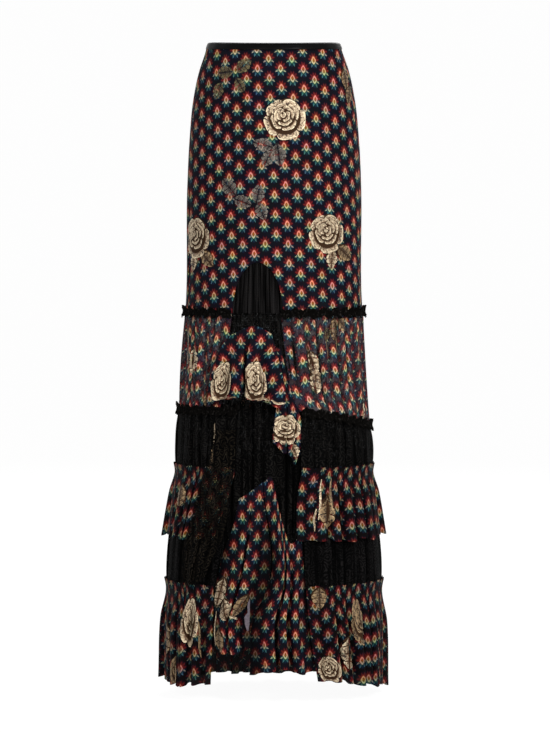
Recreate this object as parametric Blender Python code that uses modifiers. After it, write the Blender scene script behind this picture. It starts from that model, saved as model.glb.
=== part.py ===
"""A floor-length tiered skirt with lace tiers and printed ruffles, filled out as if it were worn.

Units are metres and +Z is up. The origin is the middle of the waist opening, level with the top of
the waistband. The front faces -Y. Each cut piece is a sheet laid on one oval body surface, with its
gathers and ruffle waves worked out from a wave count and a height, and it gets a wall by Solidify.
"""
import math
from collections import namedtuple

import bpy
import numpy as np

COLLECTION_NAME = "tiered_maxi_skirt"

# Walls and gaps
CLOTH_WALL = 0.0012
WAISTBAND_WALL = 0.0020
SEAM_GAP = 0.0003

# Heights below the waist edge, all measured downwards
WAISTBAND_DEPTH = 0.0140
HIP_SEAM = 0.4840
MIDDLE_RUFFLE_TOP = 0.7580
MIDDLE_RUFFLE_SEAM = 0.7680
MIDDLE_RUFFLE_HEM = 0.8840
HEM_RUFFLE_TOP = 0.9660
LOWER_LACE_END = 0.9810
FRILL_HALF_HEIGHT = 0.0085

# Angles go round the body from the middle of the front, towards the wearer's left side (+X)
SIDE_SEAM = math.radians(76.0)
FULL_TURN = 2.0 * math.pi

# The arch that is cut out of the front hip panel above its lower seam
ARCH_MIDDLE_X = -0.0290
ARCH_HALF_WIDTH = 0.0450
ARCH_HEIGHT = 0.0890

# Fineness of the sheets
COLUMNS_A_WAVE = 4
ARCH_COLUMNS = 10
HIP_COLUMNS_LEFT = 8
HIP_COLUMNS_RIGHT = 10
HIP_COLUMNS_BACK = 24
HIP_ROWS = (0.0, 0.08, 0.19, 0.34, 0.52, 0.76, 1.0)
FRILL_COLUMNS = 60
WAISTBAND_COLUMNS = 48

# Folds are uneven: how far they shift along the sheet, in waves, and how much their heights differ
SHIFT_SLOW = 0.22
SHIFT_QUICK = 0.13
WAVES_A_SLOW_SHIFT = 5
WAVES_A_QUICK_SHIFT = 3
HEIGHT_CHANGE = 0.15
HEIGHT_TURNS = 2.3
HEIGHT_START = 1.3

Section = namedtuple("Section", "drop half_width half_depth")
BODY_SECTIONS = [
    Section(0.000, 0.1185, 0.0900),
    Section(0.014, 0.1215, 0.0930),
    Section(0.050, 0.1335, 0.1020),
    Section(0.104, 0.1450, 0.1120),
    Section(0.176, 0.1520, 0.1190),
    Section(0.260, 0.1560, 0.1220),
    Section(0.464, 0.1585, 0.1250),
    Section(0.572, 0.1655, 0.1350),
    Section(0.644, 0.1700, 0.1420),
    Section(0.752, 0.1760, 0.1500),
    Section(0.824, 0.1820, 0.1560),
    Section(0.896, 0.1895, 0.1620),
    Section(0.990, 0.1945, 0.1680),
    Section(1.160, 0.1970, 0.1720),
]

# Edges of the pieces at the open front: x at a height below the waist edge
Edge = namedtuple("Edge", "drop x")
SHEER_EDGE_LEFT = [Edge(0.484, -0.0740), Edge(0.567, -0.0880), Edge(0.658, -0.0950)]
SHEER_EDGE_RIGHT = [Edge(0.484, 0.0120), Edge(0.584, 0.0250), Edge(0.628, 0.0320), Edge(0.658, 0.0460)]
UPPER_LACE_EDGE_LEFT = [Edge(0.658, -0.0620), Edge(0.768, -0.0630)]
UPPER_LACE_EDGE_RIGHT = [Edge(0.658, 0.0490), Edge(0.768, 0.0480)]
MIDDLE_RUFFLE_EDGE_LEFT = [Edge(0.758, -0.0670), Edge(0.812, -0.0810), Edge(0.884, -0.1040)]
MIDDLE_RUFFLE_EDGE_RIGHT = [Edge(0.758, 0.0490), Edge(0.812, 0.0400), Edge(0.884, 0.0390)]
LOWER_LACE_EDGE_LEFT = [Edge(0.768, -0.0740), Edge(0.882, -0.0920), Edge(0.981, -0.1060)]
LOWER_LACE_EDGE_RIGHT = [Edge(0.768, 0.0520), Edge(0.981, 0.0560)]
HEM_RUFFLE_EDGE_LEFT = [Edge(0.966, -0.1060), Edge(1.057, -0.1080), Edge(1.140, -0.1110)]
HEM_RUFFLE_EDGE_RIGHT = [Edge(0.966, 0.0560), Edge(1.057, 0.0645), Edge(1.140, 0.0780)]

INSET_EDGE_LEFT = [Edge(0.388, -0.0800), Edge(0.484, -0.0860)]
INSET_EDGE_RIGHT = [Edge(0.388, 0.0220), Edge(0.484, 0.0280)]
UNDER_LACE_EDGE_LEFT = [Edge(0.484, -0.0860), Edge(0.658, -0.1120), Edge(0.945, -0.1200)]
UNDER_LACE_EDGE_RIGHT = [Edge(0.484, 0.0280), Edge(0.658, 0.0620), Edge(0.945, 0.0680)]
UPPER_FLOUNCE_EDGE_LEFT = [
    Edge(0.508, -0.0660),
    Edge(0.528, -0.0820),
    Edge(0.558, -0.0960),
    Edge(0.602, -0.1060),
    Edge(0.642, -0.1110),
]
UPPER_FLOUNCE_EDGE_RIGHT = [
    Edge(0.508, -0.0080),
    Edge(0.540, 0.0020),
    Edge(0.584, 0.0120),
    Edge(0.611, 0.0180),
    Edge(0.651, 0.0190),
]
TAIL_EDGE_LEFT = [
    Edge(0.545, 0.0030),
    Edge(0.609, 0.0100),
    Edge(0.637, 0.0070),
    Edge(0.672, 0.0000),
    Edge(0.700, -0.0020),
    Edge(0.740, 0.0020),
]
TAIL_EDGE_RIGHT = [
    Edge(0.545, 0.0120),
    Edge(0.612, 0.0280),
    Edge(0.637, 0.0350),
    Edge(0.655, 0.0430),
    Edge(0.740, 0.0445),
]
DRAPE_EDGE_LEFT = [
    Edge(0.690, -0.1020),
    Edge(0.725, -0.1050),
    Edge(0.777, -0.1220),
    Edge(0.847, -0.1350),
    Edge(0.900, -0.1480),
    Edge(0.966, -0.1510),
]
DRAPE_EDGE_RIGHT = [
    Edge(0.690, -0.0660),
    Edge(0.760, -0.0670),
    Edge(0.812, -0.0740),
    Edge(0.882, -0.0840),
    Edge(0.926, -0.1040),
    Edge(0.966, -0.1180),
]
LOWER_FLOUNCE_OUTER_LEFT = [
    Edge(0.790, -0.0600),
    Edge(0.865, -0.0750),
    Edge(0.900, -0.0880),
    Edge(0.943, -0.0970),
    Edge(0.987, -0.1030),
    Edge(1.085, -0.1050),
]
LOWER_FLOUNCE_SLIT_LEFT = [
    Edge(0.780, -0.0195),
    Edge(0.985, -0.0200),
    Edge(1.025, -0.0420),
    Edge(1.085, -0.0350),
]
LOWER_FLOUNCE_SLIT_RIGHT = [
    Edge(0.780, -0.0185),
    Edge(0.985, -0.0185),
    Edge(1.005, -0.0300),
    Edge(1.121, -0.0440),
]
LOWER_FLOUNCE_OUTER_RIGHT = [
    Edge(0.780, 0.0480),
    Edge(0.917, 0.0510),
    Edge(0.987, 0.0535),
    Edge(1.121, 0.0720),
]

# Heights that change round the body, at an angle in degrees
Level = namedtuple("Level", "degrees drop")
MIDDLE_SEAM_LEVELS = [
    Level(-180, 0.672),
    Level(-120, 0.660),
    Level(-60, 0.658),
    Level(15, 0.658),
    Level(80, 0.687),
    Level(130, 0.688),
    Level(180, 0.672),
]
HEM_LEVELS = [
    Level(-180, 1.138),
    Level(-100, 1.134),
    Level(-68, 1.146),
    Level(-35, 1.141),
    Level(25, 1.134),
    Level(60, 1.142),
    Level(90, 1.150),
    Level(130, 1.142),
    Level(180, 1.138),
]

# Heights along a front piece, at a share of its width from its left edge
Point = namedtuple("Point", "share drop")
UPPER_FLOUNCE_TOP = [Point(0.0, 0.512), Point(0.5, 0.507), Point(1.0, 0.509)]
UPPER_FLOUNCE_HEM = [
    Point(0.0, 0.640),
    Point(0.25, 0.637),
    Point(0.5, 0.630),
    Point(0.75, 0.640),
    Point(1.0, 0.651),
]
TAIL_TOP = [Point(0.0, 0.545), Point(1.0, 0.545)]
TAIL_HEM = [Point(0.0, 0.712), Point(0.35, 0.728), Point(0.6, 0.734), Point(0.75, 0.750), Point(1.0, 0.733)]
DRAPE_TOP = [Point(0.0, 0.690), Point(1.0, 0.690)]
DRAPE_HEM = [Point(0.0, 0.960), Point(0.5, 0.966), Point(1.0, 0.950)]
LEFT_LOBE_TOP = [Point(0.0, 0.812), Point(1.0, 0.781)]
LEFT_LOBE_HEM = [Point(0.0, 1.072), Point(0.5, 1.083), Point(1.0, 1.072)]
RIGHT_LOBE_TOP = [Point(0.0, 0.781), Point(0.27, 0.784), Point(0.42, 0.852), Point(1.0, 0.878)]
RIGHT_LOBE_HEM = [
    Point(0.0, 1.121),
    Point(0.35, 1.112),
    Point(0.6, 1.106),
    Point(0.75, 1.118),
    Point(1.0, 1.111),
]

# How far a sheet stands off the body surface down its length, and how high its waves are there
Fall = namedtuple("Fall", "share stand wave")
SHEER_FALL = [
    Fall(0.0, 0.0, 0.0),
    Fall(0.2, 0.0010, 0.0022),
    Fall(0.8, 0.0010, 0.0025),
    Fall(1.0, 0.0, 0.0),
]
UPPER_LACE_FALL = [
    Fall(0.0, 0.0, 0.0),
    Fall(0.3, 0.0010, 0.0030),
    Fall(0.7, 0.0010, 0.0030),
    Fall(1.0, 0.0, 0.0),
]
LOWER_LACE_FALL = [
    Fall(0.0, 0.0, 0.0),
    Fall(0.5, 0.0, 0.0008),
    Fall(0.78, 0.0, 0.0025),
    Fall(1.0, 0.0, 0.0),
]
MIDDLE_RUFFLE_FALL = [
    Fall(0.0, 0.0040, 0.0012),
    Fall(0.08, 0.0019, 0.0002),
    Fall(0.40, 0.0056, 0.0032),
    Fall(1.0, 0.0086, 0.0060),
]
HEM_RUFFLE_FALL = [
    Fall(0.0, 0.0040, 0.0012),
    Fall(0.06, 0.0019, 0.0002),
    Fall(0.45, 0.0040, 0.0045),
    Fall(1.0, 0.0050, 0.0060),
]
FRILL_FALL = [Fall(0.0, 0.0029, 0.0), Fall(0.5, 0.0052, 0.0), Fall(1.0, 0.0029, 0.0)]
INSET_FALL = [Fall(0.0, -0.0016, 0.0), Fall(0.3, -0.0030, 0.0012), Fall(1.0, -0.0032, 0.0012)]
UNDER_LACE_FALL = [
    Fall(0.0, -0.0032, 0.0012),
    Fall(0.15, -0.0070, 0.0020),
    Fall(0.6, -0.0080, 0.0028),
    Fall(1.0, -0.0080, 0.0030),
]
UPPER_FLOUNCE_FALL = [
    Fall(0.0, -0.0015, 0.0),
    Fall(0.15, 0.0034, 0.0004),
    Fall(0.4, 0.0052, 0.0014),
    Fall(1.0, 0.0085, 0.0045),
]
TAIL_FALL = [
    Fall(0.0, -0.0032, 0.0),
    Fall(0.4, -0.0015, 0.0008),
    Fall(0.6, 0.0, 0.0014),
    Fall(1.0, 0.0045, 0.0035),
]
DRAPE_FALL = [
    Fall(0.0, 0.0058, 0.0),
    Fall(0.25, 0.0085, 0.0008),
    Fall(0.7, 0.0175, 0.0020),
    Fall(1.0, 0.0170, 0.0040),
]
LOWER_FLOUNCE_FALL = [
    Fall(0.0, -0.0034, 0.0),
    Fall(0.15, -0.0005, 0.0012),
    Fall(0.45, 0.0015, 0.0030),
    Fall(1.0, 0.0040, 0.0050),
]

# The waistband is slightly rounded: how far it stands off at a share of its depth
Rim = namedtuple("Rim", "share stand")
WAISTBAND_PROFILE = [Rim(0.0, -0.0003), Rim(0.0025, 0.0003), Rim(0.5, 0.0006), Rim(1.0, 0.0002)]

# Waves of each tier: round the right front, the back and the left front
Waves = namedtuple("Waves", "right back left")
SHEER_WAVES = Waves(8, 26, 6)
UPPER_LACE_WAVES = Waves(5, 18, 5)
MIDDLE_RUFFLE_WAVES = Waves(8, 26, 6)
LOWER_LACE_WAVES = Waves(4, 12, 4)
HEM_RUFFLE_WAVES = Waves(6, 20, 6)
INSET_WAVES = 8
UNDER_LACE_WAVES = 10
UPPER_FLOUNCE_WAVES = 5
TAIL_WAVES = 3
DRAPE_WAVES = 3
LEFT_LOBE_WAVES = 3
RIGHT_LOBE_WAVES = 4

# Finishes: linear colour, roughness
PRINTED_CREPE = ((0.042, 0.022, 0.028), 0.75)
PRINTED_CHIFFON = ((0.072, 0.050, 0.062), 0.70)
BLACK_LACE = ((0.006, 0.006, 0.007), 0.80)
BLACK_SATIN = ((0.005, 0.005, 0.006), 0.35)


def between(table, column, value, key=0):
    """The value of one column of a table at a place along its key column."""
    places = [row[key] for row in table]
    return float(np.interp(value, places, [getattr(row, column) for row in table]))


def body_section(drop):
    """Half width and half depth of the body surface at a height, on a smooth curve."""
    drops = [row.drop for row in BODY_SECTIONS]
    last = len(drops) - 2
    i = min(max(int(np.searchsorted(drops, drop)) - 1, 0), last)
    span = drops[i + 1] - drops[i]
    t = (drop - drops[i]) / span

    def curve(column):
        """A cubic through the table whose slopes are those of the neighbouring rows."""
        values = [getattr(row, column) for row in BODY_SECTIONS]
        slopes = np.gradient(values, drops)
        ends = (2 * t**3 - 3 * t**2 + 1) * values[i] + (3 * t**2 - 2 * t**3) * values[i + 1]
        bends = (t**3 - 2 * t**2 + t) * slopes[i] + (t**3 - t**2) * slopes[i + 1]
        return ends + bends * span

    return curve("half_width"), curve("half_depth")


def body_point(angle, drop, stand):
    """A point at an angle and height, standing off the body surface."""
    half_width, half_depth = body_section(drop)
    return (
        (half_width + stand) * math.sin(angle),
        -(half_depth + stand) * math.cos(angle),
        -drop,
    )


def edge_angle(edge, drop):
    """The angle at which a front edge lies at a height."""
    return math.asin(between(edge, "x", drop) / body_section(drop)[0])


def level_at(levels, angle):
    """A height that changes round the body."""
    degrees = (math.degrees(angle) + 180.0) % 360.0 - 180.0
    return between(levels, "drop", degrees)


def wave_columns(waves):
    """Places of the columns: the share of the width, the phase and the height of the wave.

    The folds are unevenly spaced and unevenly deep, and the sheet is flat at both its ends.
    """
    columns = []
    count = waves * COLUMNS_A_WAVE
    for k in range(count + 1):
        p = k / count
        uneven = SHIFT_SLOW * math.sin(FULL_TURN * p * max(1, waves // WAVES_A_SLOW_SHIFT))
        uneven += SHIFT_QUICK * math.sin(FULL_TURN * p * max(1, waves // WAVES_A_QUICK_SHIFT))
        share = p + uneven / waves
        phase = FULL_TURN * waves * p
        change = math.sin(FULL_TURN * p * HEIGHT_TURNS + HEIGHT_START)
        depth = 1.0 - HEIGHT_CHANGE + HEIGHT_CHANGE * change
        ends = min(1.0, p * waves, (1.0 - p) * waves)
        columns.append((share, phase, depth * ends))
    return columns


def cloth_material(name, finish):
    """A plain finish with the cloth's colour."""
    colour, roughness = finish
    material = bpy.data.materials.new(name)
    material.use_nodes = True
    shader = material.node_tree.nodes["Principled BSDF"]
    shader.inputs["Base Color"].default_value = (*colour, 1.0)
    shader.inputs["Roughness"].default_value = roughness
    shader.inputs["Metallic"].default_value = 0.0
    material.diffuse_color = (*colour, 1.0)
    return material


def cloth_piece(name, rows, finish, wall=CLOTH_WALL, closed=False):
    """An object from rows of points, top row first, with a wall to the inside."""
    columns = len(rows[0])
    points = [point for row in rows for point in row]
    faces = []
    for i in range(len(rows) - 1):
        for j in range(columns if closed else columns - 1):
            k = (j + 1) % columns
            faces.append((i * columns + j, (i + 1) * columns + j, (i + 1) * columns + k, i * columns + k))
    mesh = bpy.data.meshes.new(name)
    mesh.from_pydata(points, [], faces)
    mesh.update()
    mesh.materials.append(cloth_material(name, finish))
    piece = bpy.data.objects.new(name, mesh)
    bpy.data.collections[COLLECTION_NAME].objects.link(piece)
    solidify = piece.modifiers.new("wall", "SOLIDIFY")
    solidify.thickness = wall
    solidify.offset = -1.0
    return piece


def hung_sheet(name, finish, fall, waves, start_at, end_at, top_at, hem_at):
    """A gathered or flounced sheet: its columns run between two sides, its rows down the fall.

    start_at and end_at give the side's angle at a height, top_at and hem_at the height at a
    share of the width.
    """
    rows = []
    for step in fall:
        row = []
        for share, phase, depth in wave_columns(waves):
            top = top_at(share)
            drop = top + step.share * (hem_at(share) - top)
            start = start_at(drop)
            angle = start + share * (end_at(drop) - start)
            stand = step.stand + step.wave * depth * math.cos(phase)
            row.append(body_point(angle, drop, stand))
        rows.append(row)
    return cloth_piece(name, rows, finish)


def tier(name, finish, fall, waves, edge_left, edge_right, top_at, hem_at):
    """One tier round the body from the open front: a right, a back and a left piece.

    top_at and hem_at give the tier's height at an angle.
    """
    half_gap = 0.5 * SEAM_GAP / BODY_SECTIONS[0].half_width
    back_start = SIDE_SEAM + half_gap
    back_end = FULL_TURN - SIDE_SEAM - half_gap
    spans = {
        "right": (lambda drop: edge_angle(edge_right, drop), lambda drop: SIDE_SEAM - half_gap),
        "back": (lambda drop: back_start, lambda drop: back_end),
        "left": (
            lambda drop: FULL_TURN - SIDE_SEAM + half_gap,
            lambda drop: FULL_TURN + edge_angle(edge_left, drop),
        ),
    }
    for side, (start_at, end_at) in spans.items():
        middle = 0.5 * (top_at(math.pi) + hem_at(math.pi))
        first = start_at(middle)
        width = end_at(middle) - first

        def share_top(share, first=first, width=width):
            return top_at(first + share * width)

        def share_hem(share, first=first, width=width):
            return hem_at(first + share * width)

        count = getattr(waves, side)
        hung_sheet(f"{name}_{side}", finish, fall, count, start_at, end_at, share_top, share_hem)


def front_sheet(name, finish, fall, waves, edge_left, edge_right, top, hem):
    """A sheet in the open front, between a left and a right edge."""
    hung_sheet(
        name,
        finish,
        fall,
        waves,
        lambda drop: edge_angle(edge_left, drop),
        lambda drop: edge_angle(edge_right, drop),
        lambda share: between(top, "drop", share),
        lambda share: between(hem, "drop", share),
    )


def level_pair(drop):
    """A straight edge at one height, as a table along a front piece."""
    return [Point(0.0, drop), Point(1.0, drop)]


def hip_seam(angle):
    """The seam between the hip panels and the sheer tier."""
    return HIP_SEAM


def middle_seam(angle):
    """The seam between the sheer tier and the upper lace tier."""
    return level_at(MIDDLE_SEAM_LEVELS, angle)


def skirt_hem(angle):
    """The hem of the lowest ruffle."""
    return level_at(HEM_LEVELS, angle)


def make_waistband():
    """A narrow band, slightly rounded, that closes the top."""
    rows = []
    for share, stand in WAISTBAND_PROFILE:
        angles = [FULL_TURN * k / WAISTBAND_COLUMNS for k in range(WAISTBAND_COLUMNS)]
        rows.append([body_point(angle, share * WAISTBAND_DEPTH, stand) for angle in angles])
    cloth_piece("waistband", rows, BLACK_SATIN, WAISTBAND_WALL, closed=True)


def arch_cut(angle):
    """The lower edge of the front hip panel: straight, with a half oval cut up into it."""
    x = body_section(HIP_SEAM)[0] * math.sin(angle) - ARCH_MIDDLE_X
    rise = 1.0 - (x / ARCH_HALF_WIDTH) ** 2
    return HIP_SEAM - SEAM_GAP - ARCH_HEIGHT * math.sqrt(max(0.0, rise))


def make_hip_panels():
    """The fitted printed panels over the hips, front and back."""
    half_gap = 0.5 * SEAM_GAP / BODY_SECTIONS[0].half_width
    top = WAISTBAND_DEPTH + SEAM_GAP
    half_width = body_section(HIP_SEAM)[0]
    arch_angles = []
    for k in range(ARCH_COLUMNS + 1):
        x = ARCH_MIDDLE_X - ARCH_HALF_WIDTH * math.cos(math.pi * k / ARCH_COLUMNS)
        arch_angles.append(math.asin(x / half_width))
    side = SIDE_SEAM - half_gap
    left_angles = list(np.linspace(-side, arch_angles[0], HIP_COLUMNS_LEFT + 1))[:-1]
    right_angles = list(np.linspace(arch_angles[-1], side, HIP_COLUMNS_RIGHT + 1))[1:]
    front_angles = left_angles + arch_angles + right_angles
    back_start = SIDE_SEAM + half_gap
    back_angles = list(np.linspace(back_start, FULL_TURN - back_start, HIP_COLUMNS_BACK + 1))
    for name, angles, hem_at in (
        ("hip_front", front_angles, arch_cut),
        ("hip_back", back_angles, lambda angle: HIP_SEAM - SEAM_GAP),
    ):
        rows = []
        for share in HIP_ROWS:
            row = []
            for angle in angles:
                row.append(body_point(angle, top + share * (hem_at(angle) - top), 0.0))
            rows.append(row)
        cloth_piece(name, rows, PRINTED_CREPE)


def make_frill(name, seam_at, edge_left, edge_right):
    """A gathered trim over a seam, from one side of the open front round the back to the other."""
    drop = seam_at(0.0)
    start = edge_angle(edge_right, drop)
    end = FULL_TURN + edge_angle(edge_left, drop)
    rows = []
    for step in FRILL_FALL:
        row = []
        for k in range(FRILL_COLUMNS + 1):
            angle = start + (end - start) * k / FRILL_COLUMNS
            height = seam_at(angle) + FRILL_HALF_HEIGHT * (2.0 * step.share - 1.0)
            row.append(body_point(angle, height, step.stand))
        rows.append(row)
    cloth_piece(name, rows, BLACK_LACE)


def make_tiers():
    """The five tiers that go round the skirt below the hip panels."""
    tier(
        "sheer_tier",
        PRINTED_CHIFFON,
        SHEER_FALL,
        SHEER_WAVES,
        SHEER_EDGE_LEFT,
        SHEER_EDGE_RIGHT,
        hip_seam,
        lambda angle: middle_seam(angle) - SEAM_GAP,
    )
    tier(
        "upper_lace",
        BLACK_LACE,
        UPPER_LACE_FALL,
        UPPER_LACE_WAVES,
        UPPER_LACE_EDGE_LEFT,
        UPPER_LACE_EDGE_RIGHT,
        middle_seam,
        lambda angle: MIDDLE_RUFFLE_SEAM,
    )
    tier(
        "middle_ruffle",
        PRINTED_CREPE,
        MIDDLE_RUFFLE_FALL,
        MIDDLE_RUFFLE_WAVES,
        MIDDLE_RUFFLE_EDGE_LEFT,
        MIDDLE_RUFFLE_EDGE_RIGHT,
        lambda angle: MIDDLE_RUFFLE_TOP,
        lambda angle: MIDDLE_RUFFLE_HEM,
    )
    tier(
        "lower_lace",
        BLACK_LACE,
        LOWER_LACE_FALL,
        LOWER_LACE_WAVES,
        LOWER_LACE_EDGE_LEFT,
        LOWER_LACE_EDGE_RIGHT,
        lambda angle: MIDDLE_RUFFLE_SEAM + SEAM_GAP,
        lambda angle: LOWER_LACE_END,
    )
    tier(
        "hem_ruffle",
        PRINTED_CREPE,
        HEM_RUFFLE_FALL,
        HEM_RUFFLE_WAVES,
        HEM_RUFFLE_EDGE_LEFT,
        HEM_RUFFLE_EDGE_RIGHT,
        lambda angle: HEM_RUFFLE_TOP,
        skirt_hem,
    )


def make_front_pieces():
    """What fills and crosses the open front: lace insets, flounces, a tail and a lace drape."""
    inset_top = level_pair(INSET_EDGE_LEFT[0].drop)
    inset_hem = level_pair(HIP_SEAM - SEAM_GAP)
    front_sheet(
        "inset_lace",
        BLACK_LACE,
        INSET_FALL,
        INSET_WAVES,
        INSET_EDGE_LEFT,
        INSET_EDGE_RIGHT,
        inset_top,
        inset_hem,
    )
    under_top = level_pair(HIP_SEAM)
    under_hem = level_pair(UNDER_LACE_EDGE_LEFT[-1].drop)
    front_sheet(
        "under_lace",
        BLACK_LACE,
        UNDER_LACE_FALL,
        UNDER_LACE_WAVES,
        UNDER_LACE_EDGE_LEFT,
        UNDER_LACE_EDGE_RIGHT,
        under_top,
        under_hem,
    )
    front_sheet(
        "upper_flounce",
        PRINTED_CREPE,
        UPPER_FLOUNCE_FALL,
        UPPER_FLOUNCE_WAVES,
        UPPER_FLOUNCE_EDGE_LEFT,
        UPPER_FLOUNCE_EDGE_RIGHT,
        UPPER_FLOUNCE_TOP,
        UPPER_FLOUNCE_HEM,
    )
    front_sheet(
        "cascade_tail",
        PRINTED_CREPE,
        TAIL_FALL,
        TAIL_WAVES,
        TAIL_EDGE_LEFT,
        TAIL_EDGE_RIGHT,
        TAIL_TOP,
        TAIL_HEM,
    )
    front_sheet(
        "lace_drape",
        BLACK_LACE,
        DRAPE_FALL,
        DRAPE_WAVES,
        DRAPE_EDGE_LEFT,
        DRAPE_EDGE_RIGHT,
        DRAPE_TOP,
        DRAPE_HEM,
    )
    front_sheet(
        "lower_flounce_left",
        PRINTED_CREPE,
        LOWER_FLOUNCE_FALL,
        LEFT_LOBE_WAVES,
        LOWER_FLOUNCE_OUTER_LEFT,
        LOWER_FLOUNCE_SLIT_LEFT,
        LEFT_LOBE_TOP,
        LEFT_LOBE_HEM,
    )
    front_sheet(
        "lower_flounce_right",
        PRINTED_CREPE,
        LOWER_FLOUNCE_FALL,
        RIGHT_LOBE_WAVES,
        LOWER_FLOUNCE_SLIT_RIGHT,
        LOWER_FLOUNCE_OUTER_RIGHT,
        RIGHT_LOBE_TOP,
        RIGHT_LOBE_HEM,
    )


def main():
    """Clears the scene and makes the skirt, piece by piece from the waist down."""
    for leftover in list(bpy.data.objects):
        bpy.data.objects.remove(leftover, do_unlink=True)
    collection = bpy.data.collections.new(COLLECTION_NAME)
    bpy.context.scene.collection.children.link(collection)
    make_waistband()
    make_hip_panels()
    make_tiers()
    make_frill("upper_frill", hip_seam, SHEER_EDGE_LEFT, SHEER_EDGE_RIGHT)
    make_frill("middle_frill", middle_seam, UPPER_LACE_EDGE_LEFT, UPPER_LACE_EDGE_RIGHT)
    make_front_pieces()


main()
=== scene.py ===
# %% [markdown]
# A floor-length tiered skirt, filled out as if it were worn, with nobody in it. It has a fitted
# printed hip, a sheer printed tier, two tiers of black lace, two printed ruffles and an open front
# with flounces in it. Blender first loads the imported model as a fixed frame. Each cut piece of
# cloth is then made again as a thin, fine sheet with the same sizes, and takes its solid's place.

# %% Load the frame
import math
from collections import namedtuple
from functools import partial

import bpy
import numpy as np
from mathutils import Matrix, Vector


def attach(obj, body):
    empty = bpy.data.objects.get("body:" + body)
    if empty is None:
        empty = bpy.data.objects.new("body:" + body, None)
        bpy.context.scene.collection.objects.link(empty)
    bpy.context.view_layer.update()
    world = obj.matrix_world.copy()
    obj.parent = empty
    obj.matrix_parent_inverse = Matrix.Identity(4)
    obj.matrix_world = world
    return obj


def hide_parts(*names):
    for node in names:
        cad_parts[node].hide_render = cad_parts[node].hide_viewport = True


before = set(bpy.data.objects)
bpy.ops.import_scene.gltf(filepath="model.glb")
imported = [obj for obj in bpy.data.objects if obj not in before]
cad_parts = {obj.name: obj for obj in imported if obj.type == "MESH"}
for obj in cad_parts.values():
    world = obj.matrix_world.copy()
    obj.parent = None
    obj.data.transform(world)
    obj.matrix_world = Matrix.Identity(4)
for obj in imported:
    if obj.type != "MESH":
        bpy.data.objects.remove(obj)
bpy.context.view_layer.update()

print("nodes in the frame:", len(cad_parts))

# %% [markdown]
# The photograph is a product shot on white, taken from far away at about hip height. One picture
# point is 1.8 mm on the skirt. The camera stands 6.5 m away and looks slightly down, so that the
# front of the hem comes out lower than its sides, as it does there.

# %% Camera
PICTURE_HIGH = 733
METRES_A_POINT = 0.0018
CAMERA_DISTANCE = 6.5
CAMERA_HEIGHT = -0.27
VIEW_CENTRE = Vector((0.0018, 0.0, -0.584))
SENSOR = 36.0


def new_object(name, data):
    """An object with its data, put into the scene."""
    made = bpy.data.objects.new(name, data)
    bpy.context.scene.collection.objects.link(made)
    return made


def aimed(name, data, place):
    """A camera or a lamp at its place, turned to the middle of the skirt."""
    made = new_object(name, data)
    made.location = place
    made.rotation_euler = (VIEW_CENTRE - Vector(place)).to_track_quat("-Z", "Y").to_euler()
    return made


def make_camera():
    """A long lens whose view is as high as the picture at the skirt's distance."""
    lens = bpy.data.cameras.new("product_camera")
    camera = aimed("product_camera", lens, (VIEW_CENTRE.x, -CAMERA_DISTANCE, CAMERA_HEIGHT))
    half_height = PICTURE_HIGH * METRES_A_POINT / 2
    lens.sensor_width = SENSOR
    lens.lens = SENSOR / 2 * CAMERA_DISTANCE / half_height
    lens.clip_end = 100.0
    bpy.context.scene.camera = camera
    return lens.lens


print("lens in mm:", round(make_camera(), 1))


# %% [markdown]
# Colours are written as the hex values that a colour picker shows, and one function turns them to
# the linear values that Blender's shaders work in. One more function adds a shader node, sets it
# and links what comes in, so that each material below reads as a list of steps. A last one puts
# the cloth's shader on the material, and mixes it with clear air where the weave is open.

# %% Colour and node helpers
def linear(hexed):
    """An sRGB hex colour as linear red, green, blue and alpha."""
    channels = [int(hexed[i : i + 2], 16) / 255 for i in (1, 3, 5)]
    turned = [c / 12.92 if c <= 0.04045 else ((c + 0.055) / 1.055) ** 2.4 for c in channels]
    return (*turned, 1.0)


def put(tree, kind, *values, **named):
    """A new node. Values go to its open sockets in order, and names with a capital are sockets."""
    kind, _, operation = kind.partition(" ")
    made = tree.nodes.new("ShaderNode" + kind)
    settings = {name: value for name, value in named.items() if name[0].islower()}
    if operation:
        settings["operation"] = operation
    for name, value in settings.items():
        setattr(made, name, value)
    inputs = list(zip([socket for socket in made.inputs if socket.enabled], values))
    inputs += [(made.inputs[name.replace("_", " ")], named[name]) for name in named if name not in settings]
    for socket, value in inputs:
        if isinstance(value, bpy.types.Node):
            value = next(output for output in value.outputs if output.enabled)
        if isinstance(value, bpy.types.NodeSocket):
            tree.links.new(value, socket)
        else:
            socket.default_value = value
    return made


def new_material(name):
    """An empty node material, and the function that adds a node to it."""
    material = bpy.data.materials.new(name)
    material.use_nodes = True
    material.node_tree.nodes.clear()
    return material, partial(put, material.node_tree)


def wear(add, clear, **look):
    """Puts the cloth's shader on its material, and clear air for the share that is open."""
    shader = add("BsdfPrincipled", **look)
    if clear is not None:
        shader = add("MixShader", clear, shader, add("BsdfTransparent"))
    add("OutputMaterial", shader)


print("middle grey in linear light:", round(linear("#808080")[0], 3))

# %% [markdown]
# The stage is a white floor that bends up into a round white wall, under two soft lamps in front,
# one behind and a white sky, as in a photographer's tent. Most of the floor's light is its own, so
# that it stays as even as the photograph's and only a faint shadow falls on it.

# %% Floor and lights
FLOOR_DROP = 1.175
STAGE_RADIUS = 24.0
STAGE_BEND = 6.0
STAGE_BEND_STEPS = 8
STAGE_SIDES = 64
FLOOR_GLOW = 1.12
FLOOR_GLOW_SHARE = 0.85


def grid_faces(rows, columns, closed=False):
    """Four-sided faces of a grid of points, which may close into a ring."""
    i, j = np.meshgrid(np.arange(rows - 1), np.arange(columns if closed else columns - 1), indexing="ij")
    k = (j + 1) % columns
    corners = [i * columns + j, (i + 1) * columns + j, (i + 1) * columns + k, i * columns + k]
    return np.stack(corners, axis=-1).reshape(-1, 4)


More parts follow.
